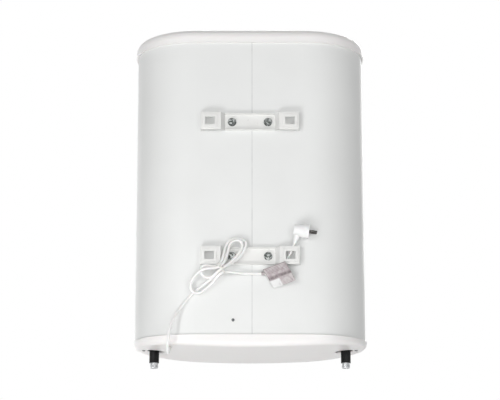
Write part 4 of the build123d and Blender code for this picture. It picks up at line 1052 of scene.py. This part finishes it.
@dataclass
class MainsCord(SubAssembly):
    """Flexible cord from the gland through its tied hank to the plug."""

    diameter: float = 0.007
    relief_length: float = 0.030
    relief_wide: float = 0.0074
    relief_taper: float = 0.0027
    ribs: int = 8
    rib_start: float = 0.0045
    rib_pitch: float = 0.0031

    def route(self) -> list[Point]:
        """Points that the cord follows, from the gland's tip to the plug.

        Returns:
            The points, in metres.
        """
        lead = [
            (0.196, -0.0606, -0.5566), (0.196, -0.0425, -0.567), (0.196, -0.0215, -0.5672),
            (0.196, -0.0034, -0.5568), (0.195, 0.007, -0.5386), (0.192, 0.0072, -0.518),
            (0.1865, 0.0015, -0.4985), (0.1785, -0.006, -0.4805), (0.168, -0.0125, -0.4635),
            (0.156, -0.0158, -0.447), (0.143, -0.016, -0.432), (0.130, -0.0154, -0.419)]
        outer_upper = [
            (0.116, -0.0128, -0.409), (0.102, -0.0093, -0.3995), (0.089, -0.0054, -0.389),
            (0.0785, 0.001, -0.379), (0.069, 0.0044, -0.370), (0.0585, 0.003, -0.3625),
            (0.047, -0.0013, -0.3555), (0.0355, -0.0045, -0.3475), (0.025, -0.0057, -0.3375),
            (0.0155, -0.0059, -0.3255), (0.009, -0.006, -0.3125), (0.0095, -0.0092, -0.301),
            (0.019, -0.0113, -0.294), (0.0315, -0.012, -0.292), (0.0435, -0.0115, -0.294),
            (0.053, -0.009, -0.301), (0.059, -0.006, -0.313), (0.062, -0.0022, -0.326),
            (0.064, 0.0014, -0.3385), (0.0676, 0.004, -0.3505)]
        small_lower = [
            (0.0747, 0.0048, -0.3602), (0.087, 0.004, -0.3645), (0.099, 0.0034, -0.3615),
            (0.1105, 0.0027, -0.361), (0.1185, 0.0008, -0.3675), (0.1185, -0.0018, -0.378),
            (0.111, -0.0022, -0.387), (0.1005, -0.0014, -0.391), (0.090, 0.0023, -0.388),
            (0.0815, 0.007, -0.381)]
        inner_upper = [
            (0.071, 0.0116, -0.3729), (0.060, 0.011, -0.365), (0.050, 0.0078, -0.357),
            (0.040, 0.0036, -0.3475), (0.0305, 0.0006, -0.336), (0.022, -0.0015, -0.324),
            (0.0175, -0.0035, -0.3125), (0.020, -0.0045, -0.3015), (0.0305, -0.0048, -0.297),
            (0.042, -0.0048, -0.300), (0.049, -0.0038, -0.3095), (0.052, -0.002, -0.321),
            (0.0545, 0.0018, -0.334), (0.058, 0.006, -0.3465), (0.0645, 0.010, -0.3585)]
        large_lower = [
            (0.0735, 0.0116, -0.366), (0.085, 0.0114, -0.3693), (0.097, 0.0102, -0.3693),
            (0.109, 0.009, -0.3705), (0.120, 0.0068, -0.3755), (0.1305, 0.002, -0.384),
            (0.139, -0.003, -0.395), (0.143, -0.0065, -0.4075), (0.1405, -0.0078, -0.4198),
            (0.1315, -0.008, -0.4268), (0.1195, -0.008, -0.4262), (0.109, -0.0076, -0.4195),
            (0.099, -0.0055, -0.4105), (0.089, -0.0023, -0.401), (0.0795, 0.002, -0.390),
            (0.072, 0.0046, -0.3825)]
        tail = [
            (0.0635, 0.0046, -0.3775), (0.046, 0.001, -0.3765), (0.0275, -0.0065, -0.378),
            (0.004, -0.0125, -0.3785), (-0.020, -0.015, -0.3775), (-0.044, -0.015, -0.3785),
            (-0.065, -0.015, -0.371), (-0.080, -0.0154, -0.356), (-0.092, -0.0154, -0.3385),
            (-0.1015, -0.0149, -0.3215), (-0.1075, -0.0095, -0.304)]
        return lead + outer_upper + small_lower + inner_upper + large_lower + tail

    def build_cord(self) -> Object:
        """Lay the cord as one smooth curve.

        Returns:
            The cord.
        """
        data = bpy.data.curves.new("mains_cord", "CURVE")
        data.dimensions = "3D"
        data.resolution_u = 8
        data.bevel_depth = self.diameter / 2
        data.bevel_resolution = 5
        data.use_fill_caps = True
        line = data.splines.new("NURBS")
        points = self.route()
        line.points.add(len(points) - 1)
        for spot, place in zip(line.points, points):
            spot.co = (*place, 1.0)
        line.order_u = 3
        line.use_endpoint_u = True
        data.materials.append(CordSheath("cord_sheath", (249, 249, 248), (240, 240, 238)).coat())
        cord = show("mains_cord", data)
        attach(cord, Body.HEATER.value)
        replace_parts(cord, "cord_lead", "cord_hank", "cord_tail")
        return cord

    def build_relief(self) -> Object:
        """Tapered strain relief with ribs, where the cord leaves the cap.

        Returns:
            The strain relief.
        """
        tip, after = (Vector(p) for p in self.route()[:2])
        run = (after - tip).normalized()
        profile = [(0.0, 0.0), (0.0088, 0.0), (0.0090, 0.0003), (0.0090, 0.0026), (0.0086, 0.0030),
                   (0.0075, 0.0031)]
        for rib in range(self.ribs):
            start = self.rib_start + rib * self.rib_pitch
            wide = self.relief_wide - self.relief_taper * start / self.relief_length
            profile += [(wide, start), (wide - 0.0001, start + 0.0019),
                        (wide - 0.0011, start + 0.0021), (wide - 0.0012, start + 0.0029)]
        profile += [(0.0048, self.relief_length - 0.0008), (0.0044, self.relief_length),
                    (self.diameter / 2, self.relief_length)]
        plastic = MouldedPlastic("strain_relief", (246, 246, 244), (238, 238, 235), 0.45).coat()
        mesh = bmesh.new()
        lathe(profile, facing(tip - run * self.relief_length, run), 40, mesh)
        relief = piece("cord_strain_relief", mesh, plastic)
        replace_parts(relief, "cord_gland")
        return relief

    def dress(self) -> None:
        """Give the moulded plug, its pins and its earth clips their finishes."""
        MouldedPlastic("plug_moulding", (249, 249, 249), (243, 243, 243), 0.34, 0.00003).coat(
            "plug_body")
        Metal("pin_nickel", (96, 94, 92), (58, 57, 56), 0.24, 90.0).coat(
            "plug_pins", "plug_earth_clips")

    def build(self) -> None:
        """Build the cord and what is on it."""
        cord = self.build_cord()
        relief, tie, tag = self.build_relief(), TwineTie().build(), FoilFlag().build()
        log.info("mains cord laid")


# ---- front controls ----
@dataclass
class FrontControls(SubAssembly):
    """Panel with the knob, the switch, two lamps and a thermometer."""

    ink: float = 0.00015
    knob_scale: float = 0.0262
    knob_step: float = 27.0
    gauge_start: float = -120.0
    gauge_step: float = 12.0
    gauge_scale: float = 0.0192
    figure_radius: float = 0.0128
    figure_size: float = 0.0042
    switch_mark_rise: float = 0.0185
    switch_mark_size: float = 0.005
    dial_middle: float = 0.018

    def front(self, node: str) -> tuple[Vector, float]:
        """Middle of a node and where its front face lies along Y."""
        low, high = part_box(node)
        return (low + high) / 2, low.y

    def print_strokes(self, name: str, centre: Vector, face: float, strokes: list[Stroke],
                      ink: Material, slot: str, body: Body = Body.HEATER) -> None:
        """Print radial strokes on a face that looks at the room.

        Args:
            name: the piece's name.
            centre: what the strokes lie round.
            face: the surface they are printed on, along Y.
            strokes: degrees clockwise from straight up, inner radius, outer radius and width.
            ink: their finish.
            slot: not used.
            body: what they ride on.
        """
        mesh = bmesh.new()
        base = Vector((centre.x, face, centre.z))
        for degrees, inner, outer, width in strokes:
            angle = radians(degrees)
            out = Vector((sin(angle), 0, cos(angle)))
            side = Vector((cos(angle), 0, -sin(angle))) * (width / 2)
            slab([base + out * inner - side, base + out * inner + side,
                  base + out * outer + side, base + out * outer - side], -BACK * self.ink, mesh)
        piece(name, mesh, ink, body, flat=True)

    def print_text(self, words: str, place: Vector, size: float, ink: Material) -> None:
        """Print a figure on a face that looks at the room.

        Args:
            words: what is printed.
            place: its middle, on the face.
            size: height of the line.
            ink: its finish.
        """
        data = bpy.data.curves.new(f"figure_{words}", "FONT")
        data.body = words
        data.size = size
        data.align_x, data.align_y = "CENTER", "CENTER"
        data.extrude = self.ink / 2
        data.materials.append(ink)
        figure = show(f"figure_{words}", data)
        figure.matrix_world = Matrix.Translation(place) @ Matrix.Rotation(pi / 2, 4, "X")
        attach(figure, Body.HEATER.value)

    def dress(self) -> None:
        """Give the panel's pieces their finishes."""
        MouldedPlastic("panel_moulding", (205, 208, 211), (196, 199, 203), 0.4).coat(
            "control_panel")
        MouldedPlastic("control_black", (38, 39, 41), (30, 31, 33), 0.36).coat(
            "temperature_knob", "switch_body", "thermostat")
        MouldedPlastic("rocker_red", (178, 30, 28), (160, 24, 24), 0.24, 0.00001).coat(
            "power_rocker")
        ClearPlastic("lamp_green", (60, 190, 90), (52, 176, 82), 0.12, 0.5).coat("power_lamp")
        ClearPlastic("lamp_amber", (240, 150, 30), (228, 138, 24), 0.12, 0.5).coat("heating_lamp")
        Metal("gauge_chrome", (214, 215, 218), (180, 182, 186), 0.16, 40.0).coat("thermometer_case")
        MouldedPlastic("dial_white", (246, 246, 243), (240, 240, 236), 0.6).coat("thermometer_dial")
        MouldedPlastic("needle_red", (196, 34, 30), (182, 28, 26), 0.3).coat("thermometer_needle")
        ClearPlastic("gauge_lens", (251, 252, 252), (246, 248, 249), 0.03, 1.0).coat(
            "thermometer_lens")
        Metal("spindle_zinc", (180, 182, 186), (150, 152, 156)).coat("knob_spindle")

    def build(self) -> None:
        """Print the scales, the figures, the switch marks and the knob's pointer."""
        dark = MouldedPlastic("printed_dark", (46, 48, 52), (38, 40, 44), 0.5).coat()
        white = MouldedPlastic("printed_white", (240, 240, 238), (232, 232, 229), 0.5).coat()
        _, panel = self.front("control_panel")
        knob, knob_face = self.front("temperature_knob")
        turns = [(self.knob_step * k, self.knob_scale - 0.0022, self.knob_scale,
                  0.0006 if k % 5 else 0.0011) for k in range(11)]
        self.print_strokes("knob_scale", knob, panel, turns, dark, "control_black")
        self.print_strokes("knob_pointer", knob, knob_face, [(0.0, 0.0095, 0.0200, 0.0013)],
                           white, "dial_white", Body.KNOB)
        case, _ = self.front("thermometer_case")
        dial = self.dial_face(case)
        ticks = [(self.gauge_start + self.gauge_step * k, 0.0170 if k % 5 else 0.0158,
                  self.gauge_scale, 0.00035 if k % 5 else 0.0007) for k in range(21)]
        self.print_strokes("gauge_scale", case, dial, ticks, dark, "control_black")
        for k, words in enumerate(("0", "20", "40", "60", "80")):
            angle = radians(self.gauge_start + 5 * self.gauge_step * k)
            place = Vector((case.x + self.figure_radius * sin(angle), dial,
                            case.z + self.figure_radius * cos(angle)))
            self.print_text(words, place, self.figure_size, dark)
        switch, _ = self.front("switch_body")
        for words, side in (("I", 1), ("O", -1)):
            place = Vector((switch.x, panel, switch.z + side * self.switch_mark_rise))
            self.print_text(words, place, self.switch_mark_size, dark)

    def dial_face(self, centre: Vector) -> float:
        """Where the dial's printed face lies along Y, found on its mesh outside its post.

        Args:
            centre: the dial's middle.

        Returns:
            The place along Y.
        """
        verts = bpy.data.objects["thermometer_dial"].data.vertices
        return min(v.co.y for v in verts
                   if (v.co.x - centre.x) ** 2 + (v.co.z - centre.z) ** 2 > self.dial_middle ** 2)


# ---- what the casing holds ----
@dataclass
class InnerWorks(SubAssembly):
    """Tanks, flanges, wiring and foam inside the casing."""

    def dress(self) -> None:
        """Give every enclosed piece its finish."""
        Metal("tank_enamelled_steel", (92, 104, 120), (70, 80, 96), 0.38, 22.0, (1, 1, 0.05)).coat(
            "cold_tank", "hot_tank", "transfer_pipe", "cold_flange", "hot_flange")
        Rubber("gasket_rubber", (36, 34, 33), (60, 58, 56)).coat(
            "cold_flange_gasket", "hot_flange_gasket")
        Metal("flange_zinc", (186, 188, 192), (140, 142, 146)).coat(
            "cold_flange_bolts", "hot_flange_bolts")
        Metal("copper_sheath", (196, 120, 84), (150, 88, 62), 0.3, 80.0).coat(
            "cold_heating_element", "hot_heating_element", "cold_thermometer_pocket",
            "hot_thermometer_pocket", "thermostat_capillary")
        Metal("magnesium_cast", (168, 168, 164), (128, 128, 124), 0.55, 45.0).coat(
            "cold_anode_rod", "hot_anode_rod")
        Foam("rigid_foam", (232, 214, 160), (186, 160, 104)).coat("foam_insulation")
        MouldedPlastic("block_moulding", (226, 222, 208), (214, 209, 194), 0.5).coat(
            "terminal_block", "thermal_cutout")
        MouldedPlastic("reset_red", (170, 34, 30), (150, 28, 26), 0.3).coat("reset_button")
        CordSheath("wire_insulation", (128, 76, 48), (100, 58, 38)).coat("internal_wiring")


# ---- studio ----
@dataclass(frozen=True)
class SoftLamp:
    """One soft square lamp: its name, place, side in metres and watts."""

    name: str
    place: Point
    side: float
    power: float

    def hang(self, target: Vector) -> None:
        """Hang the lamp, aimed at the heater.

        Args:
            target: what it is aimed at.
        """
        data = bpy.data.lights.new(self.name, "AREA")
        data.shape = "SQUARE"
        data.size = self.side
        data.energy = self.power
        lamp = show(self.name, data)
        lamp.matrix_world = facing(Vector(self.place), Vector(self.place) - target)
        lamp.visible_camera = False


@dataclass
class Studio(SubAssembly):
    """Pale floor, soft lamps and the camera."""

    floor_height: float = -2.6
    floor_reach: float = 40.0
    camera_place: Point = (0.0, 4.2106, -1.1458)
    target: Point = (0.0, -0.180, -0.1595)
    lens: float = 128.4
    film: float = 36.0
    ambient: float = 0.38
    overhead: float = 0.2
    floor_glow: float = 0.56
    floor_bounce: float = 0.16
    lamps: tuple[SoftLamp, ...] = (
        SoftLamp("key_left", (2.2, 3.6, -0.1), 1.1, 34.0),
        SoftLamp("key_right", (-2.0, 3.6, -0.1), 1.1, 30.0),
        SoftLamp("front", (0.3, 4.3, -1.4), 1.3, 20.0),
        SoftLamp("low", (1.1, 2.0, -2.45), 1.6, 46.0),
        SoftLamp("room_key", (-0.9, -4.2, 1.6), 2.4, 98.0),
        SoftLamp("room_fill", (1.8, -4.0, 0.0), 2.6, 32.0))

    def build_world(self) -> None:
        """White surroundings, dimmer where they only light the object."""
        world = bpy.data.worlds.new("surroundings")
        bpy.context.scene.world = world
        world.use_nodes = True
        graph = Graph(world.node_tree)
        rise = graph.add("SeparateXYZ", Vector=graph.add("TexCoord").outputs["Generated"])
        strength = graph.spread(rise.outputs["Z"], self.ambient, self.overhead, 0.0, 1.0)
        lighting = graph.add("Background", Color=WHITE, Strength=strength)
        seen = graph.add("Background", Color=WHITE, Strength=1.0)
        mix = graph.add("MixShader", graph.seen_directly(), lighting.outputs[0], seen.outputs[0])
        graph.add("OutputWorld", Surface=mix.outputs[0])

    def build_floor(self) -> None:
        """Plain pale floor under the hung heater."""
        mesh = bmesh.new()
        bmesh.ops.create_grid(mesh, x_segments=1, y_segments=1, size=self.floor_reach)
        data = bpy.data.meshes.new("floor")
        mesh.to_mesh(data)
        mesh.free()
        mix = Recipe("floor_paper")
        glow = mix.spread(mix.seen_directly(), self.floor_bounce, self.floor_glow, 0.0, 1.0)
        mix.give(Base_Color=mix.blend(mix.clouds(0.6), (206, 206, 205), (202, 202, 201)),
                 Roughness=0.9, Emission_Color=WHITE, Emission_Strength=glow)
        data.materials.append(mix.material)
        floor = show("floor", data)
        floor.location.z = self.floor_height

    def build(self) -> None:
        """Build surroundings, floor, lamps and camera."""
        target = Vector(self.target)
        self.build_world()
        self.build_floor()
        for lamp in self.lamps:
            lamp.hang(target)
        data = bpy.data.cameras.new("camera")
        data.lens = self.lens
        data.sensor_width = self.film
        camera = show("camera", data)
        camera.matrix_world = facing(Vector(self.camera_place), Vector(self.camera_place) - target)
        bpy.context.scene.camera = camera
        bpy.context.scene.view_settings.view_transform = "Standard"


def main() -> None:
    """Build each sub-assembly in turn, then dress each."""
    parts = (Studio(), MainsCord(), Casing(), WaterPipes(), FrontControls(), WallBrackets(),
             InnerWorks())
    for part in parts:
        part.build()
        log.info("%s built", type(part).__name__)
    for part in parts:
        part.dress()


if __name__ == "__main__":
    logging.basicConfig(level=logging.INFO, format="%(name)s: %(message)s")
    main()
